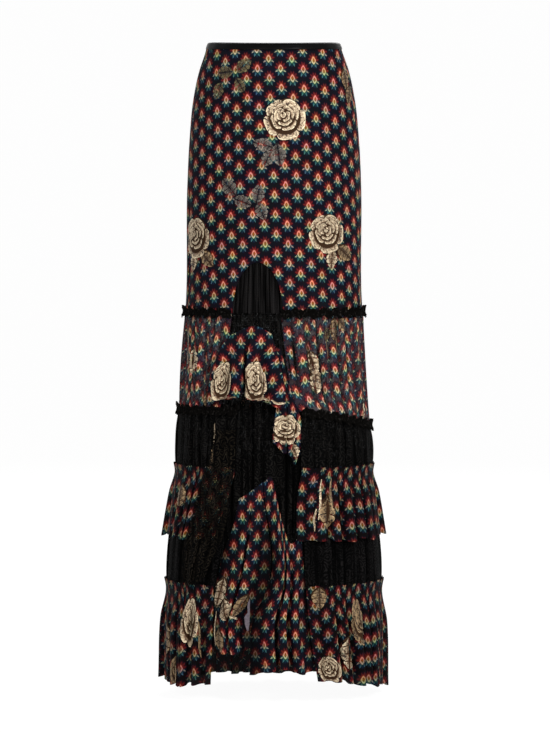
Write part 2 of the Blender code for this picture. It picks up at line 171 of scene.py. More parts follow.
def make_stage():
    """A round floor that bends up into a wall, so that it looks the same from all sides."""
    profile = [(1.0, 0.0), (3.0, 0.0), (8.0, 0.0), (STAGE_RADIUS - STAGE_BEND, 0.0)]
    for step in range(1, STAGE_BEND_STEPS + 1):
        turn = math.radians(90) * step / STAGE_BEND_STEPS
        inwards, rise = STAGE_BEND * (1 - math.sin(turn)), STAGE_BEND * (1 - math.cos(turn))
        profile.append((STAGE_RADIUS - inwards, rise))
    profile.append((STAGE_RADIUS, 2.0 * STAGE_RADIUS))
    radius, height = np.array(profile).T[..., None]
    turn = 2 * math.pi * np.arange(STAGE_SIDES) / STAGE_SIDES
    flat = (radius * np.cos(turn), radius * np.sin(turn))
    points = np.stack([*flat, height - FLOOR_DROP + 0 * turn], axis=-1)
    faces = [list(range(STAGE_SIDES))] + grid_faces(len(profile), STAGE_SIDES, closed=True).tolist()
    mesh = bpy.data.meshes.new("white_floor")
    mesh.from_pydata(points.reshape(-1, 3).tolist(), [], faces)
    mesh.shade_smooth()
    floor = new_object("white_floor", mesh)
    material, add = new_material("matt_white_paper")
    paper = add("BsdfDiffuse", linear("#f4f4f4"))
    glow = add("Emission", (1, 1, 1, 1), FLOOR_GLOW)
    add("OutputMaterial", add("MixShader", FLOOR_GLOW_SHARE, paper, glow))
    mesh.materials.append(material)
    floor.visible_diffuse = False


Lamp = namedtuple("Lamp", "name place size power")
LAMPS = [
    Lamp("key_softbox", (1.5, -2.7, 0.85), 0.6, 66),
    Lamp("fill_softbox", (-1.1, -3.0, 0.5), 0.6, 25),
    Lamp("back_softbox", (0.5, 3.6, 1.8), 2.4, 80),
]
SKY_STRENGTH = 0.24


def make_lights():
    """Square lamps that look at the middle of the skirt, and a white sky."""
    for lamp in LAMPS:
        light = bpy.data.lights.new(lamp.name, "AREA")
        light.energy = lamp.power
        light.size = lamp.size
        aimed(lamp.name, light, lamp.place)
    world = bpy.data.worlds.new("white_sky")
    bpy.context.scene.world = world
    world.use_nodes = True
    sky = world.node_tree.nodes["Background"]
    sky.inputs["Color"].default_value = (1, 1, 1, 1)
    sky.inputs["Strength"].default_value = SKY_STRENGTH
    bpy.context.scene.view_settings.view_transform = "Standard"


make_stage()
make_lights()
print("lamps:", len(LAMPS))

# %% [markdown]
# The printed crepe has one small flower in a half-drop repeat: each column of flowers sits half a
# step lower than its neighbour. A flower is a fan of pointed petals round one point, so it is
# drawn in polar form. The distance from the point is held against the petal's edge at that
# angle, and the fans are laid over each other from the back to the front, as a printer's
# screens would be.

# %% The repeat and the flower's fans
REPEAT_WIDE_MM = 40.4
REPEAT_HIGH_MM = 34.4
FLOWER_SQUASH = 0.78
EDGE_SOFTNESS = 1.3
WAVER_MM = 1.6
WAVER_A_MM = 0.35

# Angles are in degrees from straight up, lengths in mm. Each fan has a petal every step degrees.
Fan = namedtuple("Fan", "first last step shift reach notch root middle tip")
FLOWER_FANS = [
    Fan(-1, 100, 33, 0.076, 13.2, 0.20, "#5a1613", "#420f17", "#160c18"),
    Fan(100, 181, 26, 0.76, 12.0, 0.20, "#0e3a33", "#0d353b", "#0f1b30"),
    Fan(-1, 97, 33, 0.076, 10.8, 0.44, "#8c2a1b", "#6b1a1c", "#6d2624"),
    Fan(136, 174, 38, 0.421, 11.8, 0.72, "#0f3a34", "#16483f", "#568388"),
    Fan(98, 136, 38, 0.421, 10.9, 0.84, "#1c4638", "#486a54", "#bdb398"),
]
Drop = namedtuple("Drop", "up half_wide half_high taper high_colour low_colour")
FLOWER_DROPS = [
    Drop(0.0, 5.7, 9.4, 0.40, "#8c2c20", "#173f33"),
    Drop(0.0, 4.7, 7.6, 0.40, "#ea987e", "#c0c79c"),
    Drop(0.1, 2.5, 4.4, 0.20, "#66280f", "#54401a"),
    Drop(0.2, 1.6, 3.2, 0.20, "#ad5f1e", "#8a6420"),
]
HUE_PATCH_MM = 26.0
HUE_CHANGE = 1.0
PRINT_GROUND = "#100f18"
# Painted shade: the ruffles' copy of the print has a darker ground and is darkened by a share, as less light
# reaches the lower tiers.
RUFFLE_GROUND_IN_SHADE = "#0d0608"
RUFFLE_PAINTED_SHADE = 0.66


def flower_print(add, ground):
    """Nodes for the print: its colour, the share of a flower at each point, and the cloth in mm."""
    in_mm = add("VectorMath MULTIPLY", add("UVMap", uv_map="cloth"), (1000.0, 1000.0, 0.0))
    noise = add("TexNoise", Vector=in_mm, Scale=WAVER_A_MM, Detail=2.0, noise_dimensions="2D")
    shake = add("VectorMath SUBTRACT", noise.outputs["Color"], (0.5, 0.5, 0.5))
    moved = add("VectorMath MULTIPLY_ADD", shake, (WAVER_MM, WAVER_MM, 0.0), in_mm)
    half = (REPEAT_WIDE_MM / 2, REPEAT_HIGH_MM / 2, 1.0)
    places, reaches = [], []
    for start in (moved, add("VectorMath ADD", moved, half)):
        place = add("VectorMath WRAP", start, half, tuple(-side for side in half))
        shares = add("VectorMath ABSOLUTE", add("VectorMath DIVIDE", place, half))
        parts = add("SeparateXYZ", shares)
        places.append(place)
        reaches.append(add("Math ADD", parts.outputs[0], parts.outputs[1]))
    nearer = add("Math LESS_THAN", reaches[1], reaches[0])
    local = add("SeparateXYZ", add("Mix", nearer, *places, data_type="VECTOR"))
    across, up = add("Math ABSOLUTE", local.outputs[0]), local.outputs[1]
    squashed = add("Math MULTIPLY", up, FLOWER_SQUASH)
    degrees = add("Math DEGREES", add("Math ARCTAN2", across, squashed))
    distance = add("VectorMath LENGTH", add("CombineXYZ", across, squashed))
    colour, cover = linear(ground), 0.0
    for fan in FLOWER_FANS:
        petal = add("Math FRACT", add("Math MULTIPLY_ADD", degrees, 1 / fan.step, fan.shift))
        side = add("Math ABSOLUTE", add("Math SUBTRACT", petal, 0.5))
        edge = add("Math MULTIPLY_ADD", side, -2.0 * fan.notch * fan.reach, fan.reach)
        inside = add("Math MULTIPLY", add("Math SUBTRACT", edge, distance), EDGE_SOFTNESS, use_clamp=True)
        after = add("Math GREATER_THAN", degrees, fan.first)
        both = add("Math MULTIPLY", after, add("Math LESS_THAN", degrees, fan.last))
        mask = add("Math MULTIPLY", inside, both)
        ramp = add("ValToRGB", add("Math DIVIDE", distance, edge))
        ramp.color_ramp.elements[0].position = 0.30
        ramp.color_ramp.elements[0].color = linear(fan.root)
        ramp.color_ramp.elements[1].position = 0.92
        ramp.color_ramp.elements[1].color = linear(fan.tip)
        ramp.color_ramp.elements.new(0.60).color = linear(fan.middle)
        colour = add("Mix", mask, colour, ramp, data_type="RGBA")
        cover = add("Math MAXIMUM", cover, mask)
    for drop in FLOWER_DROPS:
        height = add("Math DIVIDE", add("Math SUBTRACT", up, drop.up), drop.half_high)
        narrowing = -drop.taper * drop.half_wide
        width = add("Math MULTIPLY_ADD", add("Math ABSOLUTE", height), narrowing, drop.half_wide)
        place = add("CombineXYZ", add("Math DIVIDE", across, width), height)
        inside = add("Math SUBTRACT", 1.0, add("VectorMath LENGTH", place))
        mask = add("Math MULTIPLY", inside, EDGE_SOFTNESS * drop.half_wide, use_clamp=True)
        risen = add("Math MULTIPLY_ADD", height, 0.8, 0.60, use_clamp=True)
        shaded = add("Mix", risen, linear(drop.low_colour), linear(drop.high_colour), data_type="RGBA")
        colour = add("Mix", mask, colour, shaded, data_type="RGBA")
        cover = add("Math MAXIMUM", cover, mask)
    hue = add("TexNoise", Vector=in_mm, Scale=1 / HUE_PATCH_MM, Detail=3.0, noise_dimensions="2D")
    least = (1.0 - 0.5 * HUE_CHANGE,) * 3
    shares = add("VectorMath MULTIPLY_ADD", hue.outputs["Color"], (HUE_CHANGE,) * 3, least)
    return add("VectorMath MULTIPLY", colour, shares), cover, in_mm


print("fans and drops in a flower:", len(FLOWER_FANS), "and", len(FLOWER_DROPS))

# %% [markdown]
# Crepe is a light cloth of twisted yarns. Its face is matt and slightly pebbled, which breaks up
# the light and keeps the print's colours deep. The pebble is drawn at 1.6 mm, coarser than the
# real grain of about 0.5 mm, so that it shows at all from this far. Little light gets into the
# valleys between folds, so a second map of the cloth says how deep each point lies, and painted
# shade deepens the colour there. The hips are lined, and the ruffles are one layer of the same
# cloth. The ruffles' copy of the print is darker and has a darker, warmer ground: the darkening
# is painted shade, as less light reaches the lower tiers.

# %% Printed crepe
CREPE_GRAIN_MM = 1.6
VALLEY_SHADE = 0.82


def with_painted_valley_shade(add, colour, share, first=0.0):
    """A colour times a share, with painted shade in the valleys between folds, from a first depth on."""
    depth = add("SeparateXYZ", add("UVMap", uv_map="depth"))
    kept = add("MapRange", depth, first, 1.0, 1.0, 1.0 - VALLEY_SHADE)
    return add("VectorMath SCALE", colour, add("Math MULTIPLY", kept, share))


def printed_crepe(name, ground, depth, open_share=None):
    """Matt printed crepe with a pebbled face: lined, or in one thin layer. A depth below 1 darkens it with
    painted shade.
    """
    material, add = new_material(name)
    colour, _, in_mm = flower_print(add, ground)
    grain = add("TexNoise", Vector=in_mm, Scale=1 / CREPE_GRAIN_MM, Detail=3.0, noise_dimensions="2D")
    bump = add("Bump", Strength=0.25, Distance=0.0004, Height=grain)
    # The tone follows the pebbled grain; a depth below 1 adds painted shade to it.
    grain_tone_and_painted_shade = add("MapRange", grain, 0.0, 1.0, 0.72 * depth, 1.22 * depth)
    shaded = with_painted_valley_shade(add, colour, grain_tone_and_painted_shade)
    wear(add, open_share, Base_Color=shaded, Normal=bump, Roughness=0.75, Specular_IOR_Level=0.04)
    return material


CREPE = printed_crepe("printed_crepe_lined", PRINT_GROUND, 1.0)
# Painted shade: the ruffles' crepe is a darker copy of the lined crepe.
RUFFLE = printed_crepe("printed_crepe_single_in_shade", RUFFLE_GROUND_IN_SHADE, RUFFLE_PAINTED_SHADE, 0.003)
print("repeat of the print in mm:", REPEAT_WIDE_MM, "by", REPEAT_HIGH_MM)

# %% [markdown]
# Chiffon carries the same print on a thin, open plain weave. Between the flowers the ground lets
# light through, so what is behind it shows as a greyish lilac. The flowers hold more dye and
# stay nearly opaque.

# %% Printed chiffon
CHIFFON_GROUND = "#33292f"
CHIFFON_DEPTH = 1.19
CHIFFON_VALLEY = 0.22
CHIFFON_OPEN = 0.20
CHIFFON_OPEN_IN_FLOWER = 0.05


def printed_chiffon():
    """Sheer printed chiffon, mixed with a see-through part."""
    material, add = new_material("printed_chiffon")
    colour, cover, _ = flower_print(add, CHIFFON_GROUND)
    # Painted shade: the colour is darkened in the fold valleys, from CHIFFON_VALLEY of their depth on.
    chiffon_in_valley_shade = with_painted_valley_shade(add, colour, CHIFFON_DEPTH, CHIFFON_VALLEY)
    clear = add("MapRange", cover, 0.0, 1.0, CHIFFON_OPEN, CHIFFON_OPEN_IN_FLOWER)
    wear(add, clear, Base_Color=chiffon_in_valley_shade, Roughness=0.7, Specular_IOR_Level=0.08)
    return material


CHIFFON = printed_chiffon()
print("open share of the chiffon:", CHIFFON_OPEN)

# %% [markdown]
# The black lace is cotton and nylon on a fine net. Dense leaf shapes are worked into the net, a
# little greyer than the ground because their thicker yarn catches more light. The net's cells
# are about 2 mm wide and are drawn at 3 mm, with only part of each cell clear. Fine streaks run
# down it, where the thread gathers it into pleats too small to be folds of the mesh. The streaks
# are partly the denser yarn where the pleats lie doubled, and partly painted light and shade of
# the pleats.

# %% Black lace
NET_CELL_MM = 3.0
LACE_LEAF_MM = 15.0
PLEAT_STREAK_MM = 7.0
LEAF_CELLS = {"voronoi_dimensions": "2D", "feature": "SMOOTH_F1"}
NET_CELLS = {"voronoi_dimensions": "2D", "feature": "DISTANCE_TO_EDGE"}


def black_lace(name, clear_share, thread, leaf_colour, net_colour="#020202", leaf_share=1.0):
    """Black lace: net cells, dense leaves and a matt thread. Plain net has no leaves."""
    material, add = new_material(name)
    in_mm = add("VectorMath SCALE", add("UVMap", uv_map="cloth"), 1000.0)
    bend = add("TexNoise", Vector=in_mm, Scale=0.06, Detail=1.0, noise_dimensions="2D")
    shake = add("VectorMath MULTIPLY_ADD", bend.outputs["Color"], (14, 14, 0), in_mm)
    leaves = add("TexVoronoi", Vector=shake, Scale=1 / LACE_LEAF_MM, Smoothness=0.3, **LEAF_CELLS)
    waves = add("Math SINE", add("Math MULTIPLY", leaves, 21.0))
    dense = add("MapRange", waves, 0.15, 0.55, 0.0, leaf_share)
    net = add("TexVoronoi", Vector=in_mm, Scale=1 / NET_CELL_MM, Randomness=0.5, **NET_CELLS)
    hole = add("MapRange", net, thread, thread + 0.10)
    clear = add("Math MULTIPLY", add("Math SUBTRACT", hole, dense, use_clamp=True), clear_share)
    yarn = add("Mix", dense, linear(net_colour), linear(leaf_colour), data_type="RGBA")
    bump = add("Bump", Strength=0.6, Distance=0.0006, Height=dense)
    # Painted light and shade: long streaks lighten and darken the yarn along the small pleats.
    long = add("VectorMath MULTIPLY", in_mm, (1.0, 0.05, 1.0))
    gathers = add("TexNoise", Vector=long, Scale=1 / PLEAT_STREAK_MM, Detail=3.0, noise_dimensions="2D")
    shaded = with_painted_valley_shade(add, yarn, add("MapRange", gathers, 0.36, 0.66, 0.35, 3.4))
    wear(add, clear, Base_Color=shaded, Normal=bump, Roughness=0.8, Specular_IOR_Level=0.02)
    return material


LACE = black_lace("black_lace", 0.30, 0.24, "#0d0c0b")
DENSE_LACE = black_lace("black_lace_dense", 0.10, 0.24, "#0c0b0b")
NET = black_lace("black_gathered_net", 0.10, 0.24, "#1b1a19", "#100f0f", 0.0)
OPEN_LACE = black_lace("black_lace_open", 0.95, 0.10, "#13100c")
print("net cells in mm:", NET_CELL_MM, "and lace leaves:", LACE_LEAF_MM)

# %% [markdown]
# The waistband is black satin: long floats of filament yarn lie side by side, so it has one soft,
# broad highlight along its length. The frills are black georgette, matt and crinkled. The wrong
# side of the printed cloth and the thread behind the motifs are plain, so one function with two
# tones of yarn makes both.

# %% Black satin, black georgette and plain yarns
def black_satin():
    """Black satin ribbon with threads across the band."""
    material, add = new_material("black_satin")
    cloth = add("UVMap", uv_map="cloth")
    threads = add("TexWave", Vector=cloth, Scale=320.0, Distortion=1.5, bands_direction="Y")
    bump = add("Bump", Strength=0.15, Distance=0.0002, Height=threads)
    black = linear("#020202")
    wear(add, None, Base_Color=black, Normal=bump, Roughness=0.36, Specular_IOR_Level=0.06)
    return material


def black_georgette():
    """Matt crinkled black georgette, with painted highlights where its crinkles catch the light."""
    material, add = new_material("black_georgette")
    cloth = add("UVMap", uv_map="cloth")
    grain = add("TexNoise", Vector=cloth, Scale=900.0, Detail=2.0)
    bump = add("Bump", Strength=0.5, Distance=0.0005, Height=grain)
    # Painted highlight: lighter grey specks where the crinkles catch the light.
    crinkle_highlight = add("MapRange", add("TexNoise", Vector=cloth, Scale=190.0, Detail=3.0), 0.56, 0.74)
    yarn = add("Mix", crinkle_highlight, linear("#050403"), linear("#2e2b29"), data_type="RGBA")
    wear(add, None, Base_Color=yarn, Normal=bump, Roughness=0.8, Specular_IOR_Level=0.03)
    return material


def plain_yarn(name, scale, dark, light, roughness, specular):
    """Plain cloth or thread in two tones."""
    material, add = new_material(name)
    cloth = add("UVMap", uv_map="cloth")
    grain = add("TexNoise", Vector=cloth, Scale=scale, Detail=2.0, noise_dimensions="2D")
    tones = add("Mix", grain, linear(dark), linear(light), data_type="RGBA")
    wear(add, None, Base_Color=tones, Roughness=roughness, Specular_IOR_Level=specular)
    return material


SATIN = black_satin()
GEORGETTE = black_georgette()
WRONG_SIDE = plain_yarn("crepe_wrong_side", 300.0, "#5d555c", "#8f858d", 0.75, 0.04)
THREAD = plain_yarn("dark_brown_thread", 900.0, "#120b08", "#553a26", 0.8, 0.05)
print("plain cloths and threads: 4")

# %% [markdown]
# The roses and leaves are woven with metal yarn, half of it metal and half a dull core, so they
# are bright but never mirror-like. The yarn creases, and fine dark lines show where it dips behind
# the cloth. Worn yarns in silver, olive and bronze leave gaps with the print showing through.

# %% Metal yarns
def metal_yarn(name, light, dark, open_share=None):
    """Cloth woven with metal yarn: creased, with fine dark lines where the yarn dips behind."""
    material, add = new_material(name)
    cloth = add("UVMap", uv_map="cloth")
    along = add("SeparateXYZ", add("UVMap", uv_map="depth")).outputs[1]
    patches = add("TexNoise", Vector=cloth, Scale=75.0, Detail=2.0, noise_dimensions="2D")
    turns = add("Math MULTIPLY_ADD", patches, 24.0, add("Math MULTIPLY", along, 6.5))
    line = add("MapRange", add("Math SINE", turns), 0.62, 0.95)
    fine = add("TexNoise", Vector=cloth, Scale=260.0, Detail=4.0, noise_dimensions="2D")
    share = add("MapRange", add("Math MULTIPLY_ADD", along, 0.50, fine), 0.46, 1.08)
    yarn = add("Mix", share, linear(dark), linear(light), data_type="RGBA")
    lined = add("Mix", line, yarn, linear("#3a2618"), data_type="RGBA")
    bump = add("Bump", Strength=0.5, Distance=0.0006, Height=fine)
    gaps = None
    if open_share:
        strands = add("Math SINE", add("Math MULTIPLY", fine, 60.0))
        gaps = add("MapRange", strands, -0.3, 0.5, open_share, 0.0)
    wear(add, gaps, Base_Color=lined, Normal=bump, Metallic=0.35, Roughness=0.55)
    return material


YARNS = {
    "thread": THREAD,
    "champagne": metal_yarn("champagne_yarn", "#ead7b4", "#6a4a30"),
    "silver": metal_yarn("dull_silver_yarn", "#8d8479", "#3a3230", 0.60),
    "olive": metal_yarn("olive_yarn", "#7d7048", "#39301b", 0.50),
    "bronze": metal_yarn("bronze_yarn", "#b2946a", "#402c1a", 0.2),
}
print("metal yarns:", len(YARNS) - 1)

# %% [markdown]
# A skirt's pieces all hang on one body shape. It is an oval that changes down its height, so a
# short table of half widths and half depths describes it, and a smooth curve runs through the
# rows. The tables repeat the sizes of the solids, because this script can't read their source.
# All heights are drops below the waist.

# %% The body surface
SIDE_SEAM = math.radians(76.0)
FULL_TURN = 2.0 * math.pi
SEAM_GAP = 0.0003
WAISTBAND_DEPTH = 0.0140
HIP_SEAM = 0.4840
MIDDLE_RUFFLE_TOP = 0.7580
MIDDLE_RUFFLE_SEAM = 0.7680
MIDDLE_RUFFLE_HEM = 0.8840
HEM_RUFFLE_TOP = 0.9660
LOWER_LACE_END = 0.9810

Section = namedtuple("Section", "drop half_width half_depth")
LENGTH_COLUMNS = {"drop", "half_width", "half_depth", "stand", "wave", "x", "left", "right", "size"}


def table(kind, *rows):
    """Rows of a short table. Its lengths are written in mm and kept in metres."""
    made = []
    for row in rows:
        cells = zip(kind._fields, row)
        made.append(kind(*(cell / 1000 if column in LENGTH_COLUMNS else cell for column, cell in cells)))
    return made


BODY_SECTIONS = table(
    Section,
    (0, 118.5, 90), (14, 121.5, 93), (50, 133.5, 102), (104, 145, 112), (176, 152, 119), (260, 156, 122),
    (464, 158.5, 125), (572, 165.5, 135), (644, 170, 142), (752, 176, 150), (824, 182, 156),
    (896, 189.5, 162), (990, 194.5, 168), (1160, 197, 172),
)


def column_of(rows, name):
    """One column of a table as an array."""
    return np.array([getattr(row, name) for row in rows], float)


def smooth_curve(places, values, at):
    """A cubic through the points, with the slope of its neighbours at each."""
    places, values, at = np.asarray(places, float), np.asarray(values, float), np.asarray(at, float)
    i = np.clip(np.searchsorted(places, at, side="right") - 1, 0, len(places) - 2)
    span = places[i + 1] - places[i]
    t = np.clip((at - places[i]) / span, 0.0, 1.0)
    slopes = np.gradient(values, places)
    ends = (2 * t**3 - 3 * t**2 + 1) * values[i] + (3 * t**2 - 2 * t**3) * values[i + 1]
    return ends + ((t**3 - 2 * t**2 + t) * slopes[i] + (t**3 - t**2) * slopes[i + 1]) * span


def curve_of(rows, column, at):
    """One column of a table, on a smooth curve along the table's first column."""
    return smooth_curve([row[0] for row in rows], column_of(rows, column), at)


def body_section(drop):
    """Half width and half depth of the body surface at a height."""
    return curve_of(BODY_SECTIONS, "half_width", drop), curve_of(BODY_SECTIONS, "half_depth", drop)


def body_point(angle, drop, stand):
    """Points at an angle and height, standing off the body surface."""
    wide, deep = body_section(drop)
    x, y = (wide + stand) * np.sin(angle), -(deep + stand) * np.cos(angle)
    return np.stack([x, y, -drop + 0.0 * angle], axis=-1)


print("hip width in mm:", round(2000 * float(body_section(0.3)[0])))

# %% [markdown]
# A gathered piece is wider than the place that it is sewn to, and the spare width goes into folds.
# Each piece here is worked out the same way: p runs across it and t down it. A cosine gives the
# folds, two slow sines make them uneven, and the height of the folds grows from the seam to the
# hem. Small gathers near the seam die away downwards, as thread gathers do. Uneven factors such as
# 0.41 keep one fold from repeating the last. Formulas are used in place of a cloth simulation,
# because they keep each fold where the photograph has it.

# %% Folds
SHIFT_SLOW = 0.22
SHIFT_QUICK = 0.13
FEW_WAVES = 5
CALM_SHIFT = 0.6
HEIGHT_CHANGE = 0.15
HEIGHT_TURNS = 2.3
HEIGHT_START = 1.3
LEAN = 0.45
SIDE_FOLD = 0.30
PINCH = 0.35
RIDGE = 0.42
WALL = 0.34
HEM_DIP = 0.36

Fall = namedtuple("Fall", "share stand wave")
Edge = namedtuple("Edge", "drop x")
Level = namedtuple("Level", "degrees drop")
Point = namedtuple("Point", "share drop")
Cut = namedtuple("Cut", "fall waves gather fade tuck start_at end_at top_at hem_at")
GATHER_FADE = 0.22
PLEAT_FADE = 2.0
NUDGE = 0.0005


def wave_shape(p, waves):
    """Share of the width, phase and height of the folds at p."""
    slow = SHIFT_SLOW * np.sin(FULL_TURN * p * max(1, waves // 5))
    quick = SHIFT_QUICK * np.sin(FULL_TURN * p * max(1, waves // 3))
    calm = CALM_SHIFT if waves < FEW_WAVES else 1.0
    change = np.sin(FULL_TURN * p * HEIGHT_TURNS + HEIGHT_START)
    ends = np.clip(np.minimum(p * waves, (1.0 - p) * waves), 0.0, 1.0)
    spare = 1.0 - HEIGHT_CHANGE + HEIGHT_CHANGE * change
    return p + calm * (slow + quick) / waves, FULL_TURN * waves * p, spare * ends


def place_on(cut, p, t):
    """Angle and height of the cut at (p, t)."""
    share, phase, height = wave_shape(p, cut.waves)
    top = cut.top_at(share)
    wave = curve_of(cut.fall, "wave", t)
    dip = np.cos(phase) + 0.8 * np.sin(0.43 * phase + 1.0)
    drop = top + t * (cut.hem_at(share) - top) + HEM_DIP * wave * height * dip * t**3
    start = cut.start_at(drop)
    opened = np.clip(2.5 * t, 0.0, 1.0) * (RIDGE * np.sin(phase) + WALL * np.sin(2.0 * phase))
    spread = share + opened / (FULL_TURN * cut.waves)
    return start + spread * (cut.end_at(drop) - start), drop


def fold_height(cut, p, t):
    """How far the folds of the cut stand out or in at (p, t)."""
    _, phase, height = wave_shape(p, cut.waves)
    wave = curve_of(cut.fall, "wave", t)
    lean = LEAN * t * np.sin(FULL_TURN * p * max(1, cut.waves // 4) + 0.8)
    round_fold = np.cos(phase + lean)
    pinched = 2.0 * np.abs(np.cos((phase + lean) / 2)) ** 0.9 - 1.0
    side = SIDE_FOLD * np.sin(2 * phase + 2.1 * np.sin(phase / 3 + 1.0)) * t
    uneven = 1.0 + 0.30 * np.sin(0.41 * phase + 1.0) + 0.22 * np.sin(0.67 * phase + 2.2)
    fold = ((1.0 - PINCH) * round_fold + PINCH * pinched + side) * uneven
    fine = np.sin(3 * phase + 1.7 * np.sin(phase / 2)) + 0.6 * np.sin(5 * phase + 2.0)
    gather = cut.gather * np.exp(-t / cut.fade) * fine
    return height * (wave * fold + gather)


def tuck_depth(cut, p, t):
    """How far the side edges of the cut turn in."""
    near_edge = 1.0 - np.clip(1.2 * cut.waves * np.minimum(p, 1.0 - p), 0.0, 1.0)
    return cut.tuck * near_edge**2 * np.clip(2.0 * t, 0.0, 1.0)


def bare_surface(cut, p, t):
    """Points of the cut at (p, t), folds included."""
    angle, drop = place_on(cut, p, t)
    stand = curve_of(cut.fall, "stand", t)
    return body_point(angle, drop, stand + fold_height(cut, p, t) - tuck_depth(cut, p, t))


def surface(cut, p, t, lift=0.0):
    """Points of the cut, moved out along its own face by the lift."""
    here = bare_surface(cut, p, t)
    if np.all(np.asarray(lift) == 0.0):
        return here
    before, after = np.maximum(p - NUDGE, 0.0), np.minimum(p + NUDGE, 1.0)
    across = bare_surface(cut, after, t) - bare_surface(cut, before, t)
    above, below = np.maximum(t - NUDGE, 0.0), np.minimum(t + NUDGE, 1.0)
    down = bare_surface(cut, p, below) - bare_surface(cut, p, above)
    out = np.cross(down, across)
    out /= np.linalg.norm(out, axis=-1, keepdims=True)
    return here + out * np.asarray(lift)[..., None]


print("a ridge takes up to", RIDGE, "of the way to the next fold")

# %% [markdown]
# Every piece of cloth becomes a mesh of small four-sided faces. Its map is in metres of cloth:
# across the piece it follows the length of the folded middle, and down it follows the height, so
# the print keeps its true scale, closes up between the folds, and runs level round the skirt. A
# second map says how deep each point lies in a valley, and how far up the piece it is.

# %% Meshes from grids
ROW_STEP = 0.006
COLUMNS_A_WAVE = 20


def cloth_object(name, points, maps, finishes, node=None, depths=None, wall=0, faces=None, looks=None):
    """A piece from points and their places on the cloth, with an inward wall where it has one."""
    faces = grid_faces(*points.shape[:2]) if faces is None else faces
    mesh = bpy.data.meshes.new(name)
    mesh.from_pydata(points.reshape(-1, 3).tolist(), [], faces.tolist())
    for layer_name, places in (("cloth", maps), ("depth", depths)):
        if places is not None:
            layer = mesh.uv_layers.new(name=layer_name)
            corners = places.reshape(-1, 2)[faces.reshape(-1)]
            layer.data.foreach_set("uv", corners.astype(np.float32).reshape(-1))
    for finish in finishes:
        mesh.materials.append(finish)
    if looks is not None:
        mesh.polygons.foreach_set("material_index", looks)
    mesh.shade_smooth()
    mesh.update()
    piece = new_object(name, mesh)
    if wall:
        solidify = piece.modifiers.new("wall", "SOLIDIFY")
        solidify.thickness = wall
        solidify.offset = -1.0
    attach(piece, "root")
    if node:
        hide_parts(node)
    return piece


def run_along(points):
    """How far each point of a line, or of the lines of a grid, is from its first."""
    steps = np.linalg.norm(np.diff(points, axis=-2), axis=-1)
    return np.concatenate([np.zeros((*steps.shape[:-1], 1)), np.cumsum(steps, axis=-1)], axis=-1)


def cloth_across(cut, p, t=0.5):
    """How far p is across the cloth, along the folded middle, from the cut's middle."""
    fine = np.linspace(0.0, 1.0, cut.waves * COLUMNS_A_WAVE + 1)
    length = run_along(bare_surface(cut, fine, np.full_like(fine, t)))
    return np.interp(p, fine, length - length[-1] / 2)


def rows_across(points):
    """How far each point of a shaped piece is across the cloth from its middle, along its row."""
    length = run_along(points)
    middle = length.shape[1] // 2
    return length - length[:, middle : middle + 1] + points[:, middle : middle + 1, 0]


print("rows every mm:", ROW_STEP * 1000)

# %% [markdown]
# Roses and leaves of metal yarn are woven into the cloth here and there. Each is cut up into petals
# or leaf parts with a little dark thread between them. They are made as thin raised patches that
# lie on the folded cloth, so they close up in the folds as the real ones do. Rings, petals and
# leaves are measured in shares of the motif's size. Lifts and the strip's width are in metres.

# %% Metal roses and leaves
Motif = namedtuple("Motif", "kind x drop size turn yarn", defaults=(0, "champagne"))
Ring = namedtuple("Ring", "petals inner outer start")
ROSE_RINGS = [
    Ring(1, 0.0, 0.13, 0.0),
    Ring(2, 0.17, 0.31, 0.6),
    Ring(3, 0.35, 0.50, 2.0),
    Ring(4, 0.54, 0.71, 0.3),
    Ring(5, 0.75, 1.0, 1.1),
]
ROSE_HEART_RISE = 0.19
ROSE_HEART_ASIDE = -0.11
PETAL_UNEVEN = 0.07
FOLDED_SHARE = 0.55
PETAL_SPARE = 0.05
STRIP_WIDE = 0.0042
LEAF_WIDE = 0.62
LEAF_LOBES = 4
THREAD_LIFT = 0.0005
YARN_LIFT = 0.0009
YARN_DOME = 0.0005
BARE_YARNS = ("silver", "olive")


def patch(rows, columns):
    """Two grids that run from 0 to 1."""
    return np.meshgrid(np.linspace(0, 1, columns), np.linspace(0, 1, rows))


def rose_patches(size, squeeze=1.0):
    """Petals in rings round a heart that sits a little high, as flat grids in metres."""
    u, v = patch(14, 97)
    wavy = 0.96 + 0.04 * np.sin(5 * FULL_TURN * u) + 0.02 * np.sin(11 * FULL_TURN * u + 1)
    right, up = size * v * wavy * np.sin(FULL_TURN * u), size * v * wavy * np.cos(FULL_TURN * u)
    yield "thread", squeeze * right, up, THREAD_LIFT + 0 * u
    for ring in ROSE_RINGS:
        for petal in range(ring.petals):
            u, v = patch(7, max(14, 60 // ring.petals))
            span = FULL_TURN / ring.petals
            turn = ring.start + petal * span + span * (u * (1.0 - PETAL_SPARE / max(ring.outer, 0.3)))
            round_end = np.abs(2 * u - 1) ** 5 * (ring.petals > 1)
            deep = ring.outer - ring.inner
            ripple = 0.022 * np.sin(7 * turn + 3 * petal) * v
            reach = size * (ring.inner + deep * (v * (1 - 0.45 * round_end)) + ripple * (ring.inner > 0))
            reach = reach * (1.0 + PETAL_UNEVEN * math.sin(5.3 * petal + 9.1 * ring.outer))
            rise = ROSE_HEART_RISE * size * (1.0 - ring.outer)
            aside = ROSE_HEART_ASIDE * size * (1.0 - ring.outer)
            lift = YARN_LIFT + YARN_DOME * (0.4 + v) + 0.0006 * (1 - ring.outer)
            yield "yarn", squeeze * (reach * np.sin(turn) + aside), reach * np.cos(turn) + rise, lift


